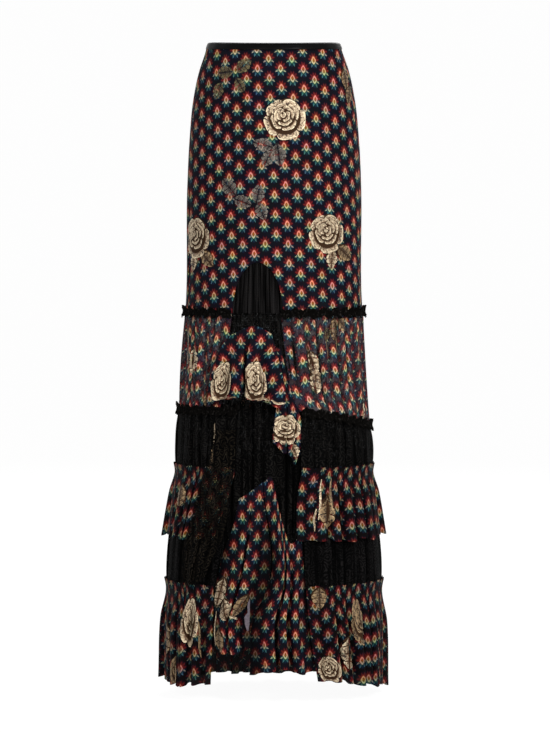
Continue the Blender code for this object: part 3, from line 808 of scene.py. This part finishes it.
def leaf_patches(size, turn):
    """A pointed leaf with a mid rib and slanted lobes on each side."""
    along = (math.sin(turn), math.cos(turn))
    aside = (math.cos(turn), -math.sin(turn))

    def placed(s, w):
        """Flat place at s along the leaf and w across it."""
        return size * ((s - 0.5) * along[0] + w * aside[0]), size * ((s - 0.5) * along[1] + w * aside[1])

    def half_width(s):
        """Half the leaf's width at s."""
        return 0.5 * LEAF_WIDE * np.sin(math.pi * np.clip(s, 0, 1) ** 0.85) ** 0.8

    u, v = patch(5, 15)
    net_width = half_width(u) + 0.04 * np.sin(math.pi * u)
    yield ("net", *placed(1.06 * u - 0.03, (2 * v - 1) * net_width), THREAD_LIFT + 0 * u)
    for side in (-1, 1):
        for lobe in range(LEAF_LOBES):
            u, v = patch(4, 5)
            s = (lobe + 0.06 + 0.86 * u) / LEAF_LOBES
            tip = s + 0.10 * v * (1 - s)
            notch = 1.0 - 0.16 * np.abs(2 * u - 1) ** 3
            spot = placed(tip, side * (0.025 + v * half_width(s) * notch))
            yield ("yarn", *spot, YARN_LIFT + YARN_DOME * np.sin(math.pi * u))


def strip_patches(size, turn):
    """A narrow, wavy strip of yarn, as a rose or leaf shows where a fold hides the rest of it."""
    u, v = patch(3, 25)
    along = size * (u - 0.5)
    wide = STRIP_WIDE * (1.0 - 0.6 * np.abs(2 * u - 1) ** 3)
    aside = (v - 0.5) * wide + 0.0012 * np.sin(7.0 * u + 900.0 * size)
    right = along * math.sin(turn) + aside * math.cos(turn)
    yield "yarn", right, along * math.cos(turn) - aside * math.sin(turn), YARN_LIFT + 0 * u


def motif_patches(motif):
    """The patches of one motif."""
    if motif.kind == "strip":
        return strip_patches(motif.size, math.radians(motif.turn))
    if motif.kind == "rose":
        return rose_patches(motif.size)
    if motif.kind == "folded rose":
        return rose_patches(motif.size, FOLDED_SHARE)
    return leaf_patches(motif.size, math.radians(motif.turn))


def make_motifs(name, motifs, place_at):
    """One piece with all the metal motifs of a cloth. place_at turns flat places into points."""
    points, maps, depths, faces, looks = [], [], [], [], []
    names = list(YARNS)
    count = 0
    for motif in motifs:
        for kind, right, up, lift in motif_patches(motif):
            if kind == "net" and motif.yarn in BARE_YARNS:
                continue
            spots, inside = place_at(motif, right, up, lift)
            new = grid_faces(*right.shape)
            new = new[inside.reshape(-1)[new].all(axis=1)][:, ::-1]
            points.append(spots.reshape(-1, 3))
            maps.append(np.stack([right + motif.x, up - motif.drop], axis=-1).reshape(-1, 2))
            depths.append(np.stack(patch(*right.shape), axis=-1).reshape(-1, 2))
            faces.append(new + count)
            looks += [names.index(motif.yarn if kind == "yarn" else "thread")] * len(new)
            count += right.size
    if not looks:
        return []
    used, faces = np.unique(np.concatenate(faces), return_inverse=True)
    points, maps, depths = (np.concatenate(part)[used] for part in (points, maps, depths))
    name, finishes = name + "_metal_motifs", list(YARNS.values())
    faces = faces.reshape(-1, 4)
    return [cloth_object(name, points, maps, finishes, None, depths, 0.0, faces, looks)]


def on_cut(cut):
    """A function that places flat motif points on a hung cut."""
    fine = np.linspace(0.0, 1.0, cut.waves * COLUMNS_A_WAVE + 1)
    across = cloth_across(cut, fine)

    def place_at(motif, right, up, lift):
        """Points on the folded cloth, and which of them are inside the piece."""
        high, low = cut.top_at(0.5), cut.hem_at(0.5)
        middle = float(np.clip((motif.drop - high) / (low - high), 0.0, 1.0))
        angles = place_on(cut, fine, np.full_like(fine, middle))[0]
        turn = float(np.arcsin(np.clip(motif.x / body_section(motif.drop)[0], -1, 1)))
        if angles[0] < math.pi < angles[-1]:
            turn = math.pi - turn
        turn += FULL_TURN * (turn < angles[0] - 0.5)
        start = np.interp(turn, angles, across)
        p = np.interp(start + right, across, fine)
        share = wave_shape(p, cut.waves)[0]
        top, hem = cut.top_at(share), cut.hem_at(share)
        t = (motif.drop - up - top) / (hem - top)
        inside = (p > 0.001) & (p < 0.999) & (t > 0.005) & (t < 0.995)
        return surface(cut, p, np.clip(t, 0.0, 1.0), lift), inside

    return place_at


print("petals in a rose:", sum(ring.petals for ring in ROSE_RINGS))

# %% [markdown]
# The photograph shows whole roses on the hip, and narrow or broken ones where a gathered cloth
# folds them away. Each motif has its kind, where its middle lies on the front or back, its size,
# how far it is turned in degrees, and its yarn, which is champagne where none is named.

# %% Where the motifs lie
MOTIFS = {
    "sheer_tier_right": table(
        Motif,
        ("leaf", 69, 572, 44, 172), ("leaf", 75, 604, 46, 190), ("leaf", 108, 512, 42, 190, "bronze"),
        ("leaf", 122, 505, 34, 130, "bronze"), ("leaf", 94, 522, 34, 230, "olive"),
        ("leaf", 160, 655, 40, 170), ("strip", 112, 540, 60, 178, "bronze"),
        ("strip", 98, 556, 50, 184, "bronze"),
    ),
    "sheer_tier_left": table(
        Motif,
        ("leaf", -147, 570, 58, 186), ("strip", -158, 548, 60, 178),
        ("leaf", -122, 640, 34, 160, "bronze"),
    ),
    "upper_flounce": table(
        Motif,
        ("folded rose", -86, 605, 37), ("folded rose", -28, 603, 37), ("strip", -92, 634.5, 34, 95),
        ("strip", -62, 631, 30, 84, "bronze"), ("strip", -22, 633, 36, 98), ("strip", 6, 640, 26, 104),
    ),
    "cascade_tail": table(
        Motif,
        ("rose", 23, 687, 26), ("leaf", 36, 725, 26, 160), ("strip", 29, 742, 20, 150),
    ),
    "middle_ruffle_right": table(
        Motif,
        ("leaf", 90, 836, 62, 184, "bronze"), ("strip", 78, 812, 70, 184),
        ("strip", 97, 808, 62, 178, "bronze"), ("strip", 70, 848, 40, 187),
    ),
    "upper_lace_left": table(
        Motif,
        ("strip", -103, 697, 36, 178), ("strip", -108, 738, 24, 176, "bronze"),
    ),
    "middle_ruffle_left": table(Motif, ("leaf", -160, 810, 40, 170, "bronze")),
    "hem_ruffle_left": table(
        Motif,
        ("folded rose", -146, 1032, 44), ("leaf", -190, 1070, 60, 180, "bronze"),
        ("strip", -160, 1040, 70, 180), ("strip", -130, 1062, 66, 174, "bronze"),
        ("folded rose", -172, 1124, 30, 0, "bronze"),
    ),
    "hem_ruffle_right": table(
        Motif,
        ("folded rose", 146, 1030, 40, 0, "bronze"), ("leaf", 128, 1085, 56, 185), ("rose", 96, 1112, 24),
        ("leaf", 80, 985, 40, 180, "bronze"),
    ),
    "lower_flounce_left": table(
        Motif,
        ("leaf", -94, 975, 50, 185), ("leaf", -82, 1005, 44, 150), ("leaf", -54, 996, 40, 200, "bronze"),
        ("leaf", -92, 1060, 46, 175, "bronze"), ("strip", -103, 1040, 60, 180),
        ("strip", -70, 1016, 34, 110),
    ),
    "sheer_tier_back": table(
        Motif,
        ("rose", -70, 570, 34), ("leaf", 60, 600, 40, 160, "bronze"), ("leaf", 84, 585, 36, 110, "olive"),
    ),
    "middle_ruffle_back": table(Motif, ("leaf", 20, 820, 50, 180, "bronze")),
    "hem_ruffle_back": table(
        Motif,
        ("rose", -110, 1050, 38), ("rose", 70, 1070, 36, 0, "bronze"), ("leaf", -20, 1090, 50, 175),
    ),
    "hip_front": table(
        Motif,
        ("rose", 19.5, 140, 36), ("leaf", -18, 187, 38, 285, "silver"),
        ("leaf", 8, 203, 42, 172, "silver"), ("leaf", -10, 210, 34, 212, "silver"),
        ("leaf", -86, 58, 36, 265, "olive"), ("leaf", -54, 47, 36, 50, "olive"),
        ("leaf", -98, 90, 34, 205, "olive"), ("leaf", -60, 80, 30, 150, "olive"),
        ("leaf", -78, 262, 40, 320, "silver"), ("leaf", -56, 287, 36, 110, "silver"),
        ("leaf", -28, 274, 36, 10, "silver"), ("leaf", -22, 303, 34, 160, "silver"),
        ("rose", 94, 342, 34), ("leaf", 102, 388, 34, 185), ("leaf", 124, 378, 40, 125, "bronze"),
        ("rose", -138, 350, 36), ("leaf", -142, 394, 34, 190), ("leaf", -118, 388, 38, 135, "bronze"),
        ("leaf", 126, 68, 36, 172, "bronze"), ("leaf", 133, 96, 34, 196, "bronze"),
        ("strip", 153, 425, 80, 180),
    ),
    "hip_back": table(
        Motif,
        ("rose", -60, 130, 36), ("leaf", -80, 178, 38, 220, "silver"),
        ("leaf", -50, 186, 36, 165, "silver"), ("rose", 52, 300, 35),
        ("leaf", 66, 346, 36, 160, "bronze"), ("leaf", 98, 90, 36, 60, "olive"),
        ("leaf", 76, 110, 34, 210, "olive"), ("leaf", -90, 360, 38, 320, "silver"),
        ("leaf", -64, 378, 36, 120, "silver"),
    ),
}
print("motifs:", sum(len(motifs) for motifs in MOTIFS.values()))

# %% [markdown]
# A tier is a straight strip, so its print runs level, apart from a slow drift where the gathers
# pull it. A flounce is cut to a shape, so its print follows each row. Both are hung in the same
# way: the cut is meshed finely, its valleys are marked for shading, and its flat size is measured
# along the folded cloth, so that it is the whole cut of the real piece.

# %% Hanging a piece of cloth
FULL_VALLEY = 0.85
TUCK_SHADE = 1.5
ROW_DRIFT = 0.0045
DRIFT_COLUMNS = 39.0


def hang(name, cut, finish, shaped=False, parts=()):
    """Makes a hung piece in place of its node, with its print mapped for a straight or a shaped cut."""
    columns = cut.waves * COLUMNS_A_WAVE
    rows = max(6, round(float(cut.hem_at(0.5) - cut.top_at(0.5)) / ROW_STEP))
    p, t = np.meshgrid(np.linspace(0, 1, columns + 1), np.linspace(0, 1, rows + 1))
    points = bare_surface(cut, p, t)
    across = rows_across(points) if shaped else cloth_across(cut, p)
    drift = 0.0 if shaped else ROW_DRIFT * np.sin(FULL_TURN * columns * p / DRIFT_COLUMNS)
    maps = np.stack([across, points[..., 2] + drift], axis=-1)
    # Painted shade: the depth map marks fold valleys and tucked edges, where the colour is darkened.
    below = TUCK_SHADE * tuck_depth(cut, p, t) - fold_height(cut, p, t)
    valley = np.clip(below / (FULL_VALLEY * max(column_of(cut.fall, "wave"))), 0.0, 1.0)
    depths = np.stack([valley, 1.0 - t], axis=-1)
    piece = cloth_object(name + "_cloth", points, maps, [finish], name, depths)
    motifs = make_motifs(name, MOTIFS.get(name, []), on_cut(cut)) + list(parts)


def edge_angle(edge, drop):
    """The angle at which a front edge lies at a height."""
    return np.arcsin(curve_of(edge, "x", drop) / body_section(drop)[0])


print("a valley counts as full at", FULL_VALLEY, "of the highest fold")

# %% [markdown]
# The waistband is a narrow band of black satin, cut double and pressed flat. It is a closed ring
# that is a little rounded, with small ripples where the hip panel is eased into it.

# %% Waistband
Rim = namedtuple("Rim", "share stand")
WAISTBAND_PROFILE = table(Rim, (0, -3.4), (0.12, -1.2), (0.5, 0.5), (0.95, 1), (1, 0.9))
WAISTBAND_TOP = 0.0016
WAISTBAND_WALL = 0.0020
WAISTBAND_COLUMNS = 240
WAISTBAND_ROWS = 9
FRONT_DIP = 0.0044


def front_dip(angle):
    """How much lower the waist line is round the front than at the sides and the back."""
    return FRONT_DIP * np.clip(np.cos(angle), 0.0, 1.0) ** 1.5


def make_waistband():
    """The satin ring at the waist."""
    turns = np.arange(WAISTBAND_COLUMNS) / WAISTBAND_COLUMNS * FULL_TURN
    angle, row = np.meshgrid(turns, np.linspace(0, 1, WAISTBAND_ROWS))
    stand = curve_of(WAISTBAND_PROFILE, "stand", row) + 0.0002 * np.sin(23 * angle) * np.sin(math.pi * row)
    drop = WAISTBAND_TOP + row * (WAISTBAND_DEPTH - WAISTBAND_TOP) + front_dip(angle)
    points = body_point(angle, drop, stand)
    girth = FULL_TURN * (BODY_SECTIONS[0].half_width + BODY_SECTIONS[0].half_depth) / 2
    maps = np.stack([angle / FULL_TURN * girth, -row * WAISTBAND_DEPTH], axis=-1)
    faces = grid_faces(WAISTBAND_ROWS, WAISTBAND_COLUMNS, closed=True)
    name, slot = "waistband_satin_ribbon", "waistband_satin"
    piece = cloth_object(name, points, maps, [SATIN], "waistband", None, WAISTBAND_WALL, faces)


make_waistband()
print("waistband in mm:", round(WAISTBAND_DEPTH * 1000))

# %% [markdown]
# The hip is two flat panels with side seams, shaped at the sides. They fit closely, so they have
# no folds, only slight hollows and creases where the cloth hangs from the hips. The front
# panel's lower edge has an arch cut up into it, where the open front begins.

# %% Hip panels
ARCH_MIDDLE_X = -0.0290
ARCH_HALF_WIDTH = 0.0450
ARCH_HEIGHT = 0.0890
HIP_ROWS = 76
CREPE_WALL = 0.0005
CREASE = 0.0007
GRAIN_LEAN = 0.044
GRAIN_DROOP = 0.54
GRAIN_LEVEL = 0.25
ARCH_COLUMNS = 41
RIGHT_COLUMNS = 33
LEFT_COLUMNS = 49
BACK_COLUMNS = 121


def arch_cut(angle):
    """The lower edge of the front panel: straight, with a half oval cut up into it."""
    x = body_section(HIP_SEAM)[0] * np.sin(angle) - ARCH_MIDDLE_X
    rise = np.clip(1.0 - (x / ARCH_HALF_WIDTH) ** 2, 0.0, None)
    return HIP_SEAM - SEAM_GAP - ARCH_HEIGHT * np.sqrt(rise) * (np.cos(angle) > 0)


def hip_point(angle, drop, lift=0.0):
    """Points of the hip panels, with slight creases that grow downwards."""
    soft = np.sin(3.1 * angle + 9.0 * drop + 0.7) + 0.8 * np.sin(6.3 * angle - 13.0 * drop)
    fine = np.sin(19.0 * angle + 6.0 * np.sin(11.0 * drop)) * np.exp(-((drop - WAISTBAND_DEPTH) / 0.05))
    grown = np.clip((drop - 0.03) / 0.2, 0.0, 1.0) * np.clip((HIP_SEAM - drop) / 0.03, 0.0, 1.0)
    return body_point(angle, drop, CREASE * (soft * grown + 0.5 * fine) + lift)


def arc_table():
    """Angles round the body and the length of its widest hip line up to each."""
    angles = np.linspace(-math.pi, FULL_TURN, 1400)
    length = run_along(body_point(angles, np.full_like(angles, HIP_SEAM), 0.0))
    return angles, length - np.interp(0.0, angles, length)


ARC_ANGLES, ARC_LENGTHS = arc_table()


def hip_scale(drop):
    """How much shorter the way round the body is at a height than at the hip's seam."""
    wide, deep = body_section(drop)
    seam_wide, seam_deep = body_section(HIP_SEAM)
    return (wide + deep) / (seam_wide + seam_deep)


def on_hips(angles, hem_at, facing):
    """A function that places flat motif points on a hip panel that faces the front or the back."""

    def place_at(motif, right, up, lift):
        """Points on the panel, and which of them are inside it."""
        drop = motif.drop - up
        start = float(np.arcsin(motif.x / body_section(motif.drop)[0])) * math.cos(facing)
        length = np.interp(start, ARC_ANGLES, ARC_LENGTHS) * hip_scale(motif.drop) + right
        angle = facing + np.interp(length / hip_scale(drop), ARC_LENGTHS, ARC_ANGLES)
        inside = (angle > angles[0]) & (angle < angles[-1]) & (drop > 0.016) & (drop < hem_at(angle))
        return hip_point(angle, drop, lift), inside

    return place_at


def make_hip_panel(name, angles, hem_at):
    """One fitted panel between the waistband and its lower edge."""
    top = WAISTBAND_DEPTH + SEAM_GAP
    angle, t = np.meshgrid(angles, np.linspace(0, 1, HIP_ROWS + 1))
    low_top = top + front_dip(angle)
    drop = low_top + t * (hem_at(angle) - low_top)
    points = hip_point(angle, drop)
    facing = math.pi * round(0.5 * (angles[0] + angles[-1]) / math.pi)
    across = np.interp(angle - facing, ARC_ANGLES, ARC_LENGTHS) * hip_scale(drop)
    maps = np.stack([across - GRAIN_LEAN * (drop - GRAIN_LEVEL), GRAIN_DROOP * across**2 - drop], axis=-1)
    depths = np.stack([0.0 * drop, 1.0 - t], axis=-1)
    piece = cloth_object(name + "_cloth", points, maps, [CREPE], name, depths, CREPE_WALL)
    motifs = make_motifs(name, MOTIFS[name], on_hips(angles, hem_at, facing))


def make_hips():
    """The front and the back panel."""
    side = SIDE_SEAM - 0.5 * SEAM_GAP / BODY_SECTIONS[0].half_width
    arch_x = ARCH_MIDDLE_X - ARCH_HALF_WIDTH * np.cos(np.linspace(0, math.pi, ARCH_COLUMNS))
    arch = np.arcsin(arch_x / body_section(HIP_SEAM)[0])
    right = np.linspace(-side, arch[0], RIGHT_COLUMNS)[:-1]
    left = np.linspace(arch[-1], side, LEFT_COLUMNS)[1:]
    make_hip_panel("hip_front", np.concatenate([right, arch, left]), arch_cut)
    back_start = FULL_TURN / 2 - SIDE_SEAM
    back = np.linspace(math.pi - back_start, math.pi + back_start, BACK_COLUMNS)
    make_hip_panel("hip_back", back, lambda angle: HIP_SEAM - SEAM_GAP + 0.0 * angle)


make_hips()
print("arch in mm:", 2000 * ARCH_HALF_WIDTH, "wide,", 1000 * ARCH_HEIGHT, "high")

# %% [markdown]
# Below the hips five tiers go round the skirt and stop at the open front: sheer chiffon, lace, a
# printed ruffle, lace again, and the hem ruffle. Each is a right front, a back and a left front
# piece, joined at the side seams.

# %% Tiers
# Each tier has its folds in the right, back and left piece, its small gathers, its upper and lower
# line, its cloth and what it rests on. Its fall says how far it and its folds stand off the body.
MIDDLE_SEAM_LEVELS = table(
    Level,
    (-180, 672), (-120, 660), (-60, 658), (15, 658), (80, 687), (130, 688), (180, 672),
)
HEM_LEVELS = table(
    Level,
    (-180, 1160), (-145, 1158), (-100, 1138), (-68, 1149), (-35, 1141), (25, 1134), (60, 1147),
    (90, 1159), (145, 1156), (180, 1160),
)
HEADING_RISE = 0.0017
HEADING_TURNS = 62.0

Tier = namedtuple("Tier", "name waves gather fade top hem finish slot rests_on fall left right")
TIERS = [
    Tier(
        "sheer_tier", (8, 24, 6), 0.0013, PLEAT_FADE, HIP_SEAM, "middle seam", CHIFFON,
        "printed_chiffon", ["hip_front_cloth", "hip_back_cloth"],
        fall=table(Fall, (0, 0, 0), (0.15, -3, 2.8), (0.85, -3.4, 3), (1, 0, 0)),
        left=table(Edge, (484, -74), (567, -88), (658, -95)),
        right=table(Edge, (484, 12), (584, 25), (628, 32), (658, 46)),
    ),
    Tier(
        "upper_lace", (5, 18, 5), 0.001, PLEAT_FADE, "middle seam", MIDDLE_RUFFLE_SEAM, LACE,
        "black_lace", ["sheer_tier_back_cloth"],
        fall=table(Fall, (0, 0, 0), (0.3, 0.6, 3.8), (0.7, 0.6, 3.6), (1, 0, 0)),
        left=table(Edge, (658, -62), (768, -63)),
        right=table(Edge, (658, 49), (768, 48)),
    ),
    Tier(
        "middle_ruffle", (6, 22, 5), 0.0004, GATHER_FADE, MIDDLE_RUFFLE_TOP, MIDDLE_RUFFLE_HEM, RUFFLE,
        "printed_crepe", ["upper_lace_back_cloth"],
        fall=table(Fall, (0, 4, 1.2), (0.08, 1.9, 0.2), (0.4, 4, 5.6), (1, 6.6, 8.8)),
        left=table(Edge, (758, -67), (812, -81), (884, -104)),
        right=table(Edge, (758, 49), (812, 40), (884, 39)),
    ),
    Tier(
        "lower_lace", (6, 18, 5), 0.0006, PLEAT_FADE, MIDDLE_RUFFLE_SEAM + SEAM_GAP, LOWER_LACE_END,
        DENSE_LACE, "black_lace", ["upper_lace_back_cloth"],
        fall=table(Fall, (0, 0, 0), (0.45, -0.6, 2.2), (0.85, -0.6, 3), (1, 0, 0)),
        left=table(Edge, (768, -74), (882, -92), (981, -106)),
        right=table(Edge, (768, 52), (981, 56)),
    ),
    Tier(
        "hem_ruffle", (6, 20, 5), 0.0004, GATHER_FADE, HEM_RUFFLE_TOP, "skirt hem", RUFFLE,
        "printed_crepe", ["lower_lace_back_cloth"],
        fall=table(Fall, (0, 4, 1.2), (0.06, 1.9, 0.2), (0.4, 2.4, 7.2), (1, 1.8, 9.6)),
        left=table(Edge, (966, -106), (1057, -108), (1140, -111)),
        right=table(Edge, (966, 56), (1057, 64.5), (1140, 78)),
    ),
]


def level_at(levels, angle):
    """A height that changes round the body."""
    return curve_of(levels, "drop", (np.degrees(angle) + 180.0) % 360.0 - 180.0)


def staying(value):
    """A line that stays at one value."""
    return lambda at: value + 0.0 * at


def heading(top, angle):
    """The upper edge of a ruffle's heading, which flutters a little above its level."""
    return top - HEADING_RISE * (np.abs(np.sin(HEADING_TURNS * angle)) + 0.5 * np.sin(31.0 * angle))


def height_line(level):
    """A tier's edge as a function of the angle: level, or along a seam."""
    if level == "middle seam":
        return partial(level_at, MIDDLE_SEAM_LEVELS)
    if level == "skirt hem":
        return partial(level_at, HEM_LEVELS)
    if level in (MIDDLE_RUFFLE_TOP, HEM_RUFFLE_TOP):
        return partial(heading, level)
    return staying(level)


def make_tier(tier):
    """The right, back and left pieces of a tier."""
    half_gap = 0.5 * SEAM_GAP / BODY_SECTIONS[0].half_width
    start = SIDE_SEAM + half_gap
    left_seam = FULL_TURN - SIDE_SEAM + half_gap
    spans = [
        ("right", partial(edge_angle, tier.right), staying(SIDE_SEAM - half_gap)),
        ("back", staying(start), staying(FULL_TURN - start)),
        ("left", staying(left_seam), lambda drop: FULL_TURN + edge_angle(tier.left, drop)),
    ]
    top_line, hem_line = height_line(tier.top), height_line(tier.hem)
    middle = 0.5 * (top_line(math.pi) + hem_line(math.pi))
    for (side, start_at, end_at), waves in zip(spans, tier.waves):
        first = float(start_at(middle))
        width = float(end_at(middle)) - first
        cut = Cut(
            tier.fall, waves, tier.gather, tier.fade, 0.0, start_at, end_at,
            lambda share, first=first, width=width: top_line(first + share * width),
            lambda share, first=first, width=width: hem_line(first + share * width),
        )
        hang(f"{tier.name}_{side}", cut, tier.finish)


for tier in TIERS:
    make_tier(tier)
print("tier pieces:", 3 * len(TIERS))

# %% [markdown]
# The open front is filled from the back to the front. Gathered black net sits in the arch and a
# long black lace layer hangs below it. A printed flounce hangs over that layer, and its right
# end falls in a tail. A lace drape sweeps down to the left, and a printed lower flounce, split
# by a slit, falls to the hem.

# %% Pieces of the open front
# Left and right are the side edges of a piece, top and hem its height from one side to the other.
Front = namedtuple("Front", "name waves gather fade tuck finish slot held rests_on fall left right top hem")
LOWER_FLOUNCE_FALL = table(Fall, (0, -3.4, 0), (0.15, 0.6, 3.6), (0.45, 4.8, 7.4), (1, 7.8, 9.6))
FRONT_PIECES = [
    Front(
        "inset_lace", 12, 0.0012, PLEAT_FADE, 0.0, NET, "black_lace", "gathered",
        ["hip_front_cloth"],
        fall=table(Fall, (0, -2.2, 0.6), (0.3, -3.6, 1.9), (1, -3.8, 1.9)),
        left=table(Edge, (388, -80), (484, -86)),
        right=table(Edge, (388, 22), (484, 28)),
        top=table(Point, (0, 388), (1, 388)),
        hem=[Point(0.0, HIP_SEAM - SEAM_GAP), Point(1.0, HIP_SEAM - SEAM_GAP)],
    ),
    Front(
        "under_lace", 10, 0.0007, PLEAT_FADE, 0.0, LACE, "black_lace", "gathered",
        ["inset_lace_cloth"],
        fall=table(Fall, (0, -7.2, 1.2), (0.15, -7.8, 2.2), (0.6, -8, 2.8), (1, -8, 3)),
        left=table(Edge, (472, -86), (658, -112), (945, -120)),
        right=table(Edge, (472, 28), (658, 62), (945, 68)),
        top=table(Point, (0, 472), (1, 472)),
        hem=table(Point, (0, 945), (1, 945)),
    ),
    Front(
        "upper_flounce", 3, 0.0009, GATHER_FADE, 0.0, CREPE, "printed_crepe", "gathered",
        ["under_lace_cloth"],
        fall=table(Fall, (0, -1.5, 0), (0.15, 4.4, 1.4), (0.4, 8.8, 6.8), (1, 14, 12.4)),
        left=table(Edge, (508, -66), (528, -82), (558, -96), (602, -106), (642, -111)),
        right=table(Edge, (508, -8), (540, 2), (584, 12), (611, 18), (651, 19)),
        top=table(Point, (0, 524), (0.22, 512), (0.5, 507), (0.8, 511), (1, 520)),
        hem=table(Point, (0, 640), (0.25, 637), (0.5, 630), (0.75, 640), (1, 651)),
    ),
    Front(
        "cascade_tail", 3, 0.0, GATHER_FADE, 0.0, CREPE, "printed_crepe", "hung",
        ["upper_flounce_cloth"],
        fall=table(Fall, (0, -3.2, 0), (0.4, -1.5, 0.8), (0.6, 0, 1.4), (1, 4.5, 3.5)),
        left=table(Edge, (545, 3), (609, 10), (637, 7), (672, 0), (700, -2), (740, 2)),
        right=table(Edge, (545, 12), (612, 28), (637, 35), (655, 43), (740, 44.5)),
        top=table(Point, (0, 545), (1, 545)),
        hem=table(Point, (0, 712), (0.35, 728), (0.6, 734), (0.75, 750), (1, 733)),
    ),
    Front(
        "lace_drape", 3, 0.0005, PLEAT_FADE, 0.0, OPEN_LACE, "black_lace", "draped",
        ["upper_lace_left_cloth"],
        fall=table(Fall, (0, 5.8, 0), (0.25, 8.5, 0.8), (0.7, 17.5, 2), (1, 17, 4)),
        left=table(Edge, (690, -102), (725, -105), (777, -122), (847, -135), (900, -148), (966, -151)),
        right=table(Edge, (690, -66), (760, -67), (812, -74), (882, -84), (926, -104), (966, -118)),
        top=table(Point, (0, 690), (1, 690)),
        hem=table(Point, (0, 960), (0.5, 966), (1, 950)),
    ),
    Front(
        "lower_flounce_left", 3, 0.0005, GATHER_FADE, 0.0105, CREPE, "printed_crepe", "gathered",
        ["under_lace_cloth"],
        fall=LOWER_FLOUNCE_FALL,
        left=table(Edge, (790, -60), (865, -75), (900, -89), (943, -101), (987, -109), (1085, -113)),
        right=table(Edge, (780, -19.5), (985, -20), (1025, -42), (1085, -35)),
        top=table(Point, (0, 812), (1, 781)),
        hem=table(Point, (0, 1072), (0.5, 1083), (1, 1072)),
    ),
    Front(
        "lower_flounce_right", 4, 0.0005, GATHER_FADE, 0.0105, CREPE, "printed_crepe", "gathered",
        ["under_lace_cloth"],
        fall=LOWER_FLOUNCE_FALL,
        left=table(Edge, (780, -18.5), (985, -18.5), (1005, -30), (1121, -44)),
        right=table(Edge, (780, 48), (917, 52), (987, 60), (1121, 80)),
        top=table(Point, (0, 781), (0.27, 784), (0.42, 852), (1, 878)),
        hem=table(Point, (0, 1121), (0.35, 1112), (0.6, 1106), (0.75, 1118), (1, 1111)),
    ),
]


def make_front_piece(front, parts=()):
    """One piece of the open front."""
    cut = Cut(
        front.fall, front.waves, front.gather, front.fade, front.tuck,
        partial(edge_angle, front.left), partial(edge_angle, front.right),
        partial(curve_of, front.top, "drop"), partial(curve_of, front.hem, "drop"),
    )
    hang(front.name, cut, front.finish, True, parts)


print("front pieces:", len(FRONT_PIECES))

# %% [markdown]
# At the slit the left flounce's edge is turned over, so a narrow piece of the cloth's paler wrong
# side shows. It is made as a small sheet of its own.

# %% The turned edge, and all front pieces
TurnedRow = namedtuple("TurnedRow", "drop left right")
TURNED_EDGE = table(
    TurnedRow,
    (986, -42, -41), (995, -45.5, -41), (1010, -45, -41.2), (1016, -50.5, -41.5), (1030, -50, -42),
    (1042, -46, -43.5),
)
TURNED_STAND = 0.0060


def make_turned_edge():
    """The flounce's edge at the slit, turned over so that its paler wrong side shows."""
    drops = column_of(TURNED_EDGE, "drop")
    u, drop = np.meshgrid(np.linspace(0.0, 1.0, 6), np.linspace(drops[0], drops[-1], 15))
    left = np.interp(drop, drops, column_of(TURNED_EDGE, "left"))
    right = np.interp(drop, drops, column_of(TURNED_EDGE, "right"))
    x = left + u * (right - left)
    stand = TURNED_STAND + 0.0008 * np.sin(9.0 * u)
    points = body_point(np.arcsin(x / body_section(drop)[0]), drop, stand)
    maps = np.stack([x, -drop], axis=-1)
    return cloth_object("lower_flounce_left_turned_edge", points, maps, [WRONG_SIDE])


for front in FRONT_PIECES:
    make_front_piece(front, [make_turned_edge()] if front.name == "lower_flounce_left" else [])
print("turned edge in mm:", round(1000 * (TURNED_EDGE[-1].drop - TURNED_EDGE[0].drop)))

# %% [markdown]
# Two black frills cover the upper seams. Each is a strip gathered along its middle by a thread, so
# both of its edges flutter. The strip lies over the seam with its middle standing proud.

# %% Frills
FRILL_HALF_HEIGHT = 0.0088
FRILL_WAVE = 0.0105
FRILL_STAND = 0.0026
FRILL_FLUTTER = 0.0032
FRILL_ROWS = 11
FRILL_CLOTH = 1.6
FRILL_COLUMNS_A_WAVE = 10


def make_frill(name, seam, tier, rests_on):
    """A strip pinched along its middle, from one side of the open front to the other."""
    seam_at = height_line(seam)
    start = float(edge_angle(tier.right, seam_at(0.0)))
    end = FULL_TURN + float(edge_angle(tier.left, seam_at(0.0)))
    girth = (end - start) * sum(body_section(seam_at(0.0))) / 2
    columns = round(girth / FRILL_WAVE * FRILL_COLUMNS_A_WAVE)
    angle, s = np.meshgrid(np.linspace(start, end, columns + 1), np.linspace(-1, 1, FRILL_ROWS))
    phase = angle * girth / (end - start) / FRILL_WAVE * FULL_TURN
    phase = phase + 1.9 * np.sin(7 * angle) + 1.1 * np.sin(17 * angle + 1)
    edge = np.abs(s)
    wave = np.where(s < 0, np.sin(phase), np.sin(phase + 1.9 + np.sin(11 * angle)))
    small = np.sin(2.3 * phase + 1.3 * s)
    uneven = 0.75 + 0.25 * np.sin(5 * angle + 2) * np.sin(13 * angle)
    flare = (0.55 + 0.45 * edge**1.3) * (1.0 + 0.8 * wave + 0.6 * small)
    stand = FRILL_STAND + FRILL_FLUTTER * flare * uneven
    reach = FRILL_HALF_HEIGHT * s * (0.90 + (0.26 * np.sin(phase * 0.47 + 2 * s) + 0.16 * wave) * edge)
    points = body_point(angle, seam_at(angle) + reach, stand)
    maps = np.stack([(angle - start) / (end - start) * girth * FRILL_CLOTH, -s * FRILL_HALF_HEIGHT], axis=-1)
    piece = cloth_object(name + "_strip", points, maps, [GEORGETTE], name)


Frill = namedtuple("Frill", "name seam tier rests_on")
FRILLS = [
    Frill("upper_frill", HIP_SEAM, TIERS[0], ["hip_front_cloth", "sheer_tier_back_cloth"]),
    Frill("middle_frill", "middle seam", TIERS[1], ["sheer_tier_back_cloth"]),
]
for frill in FRILLS:
    make_frill(*frill)
print("frills:", len(FRILLS))
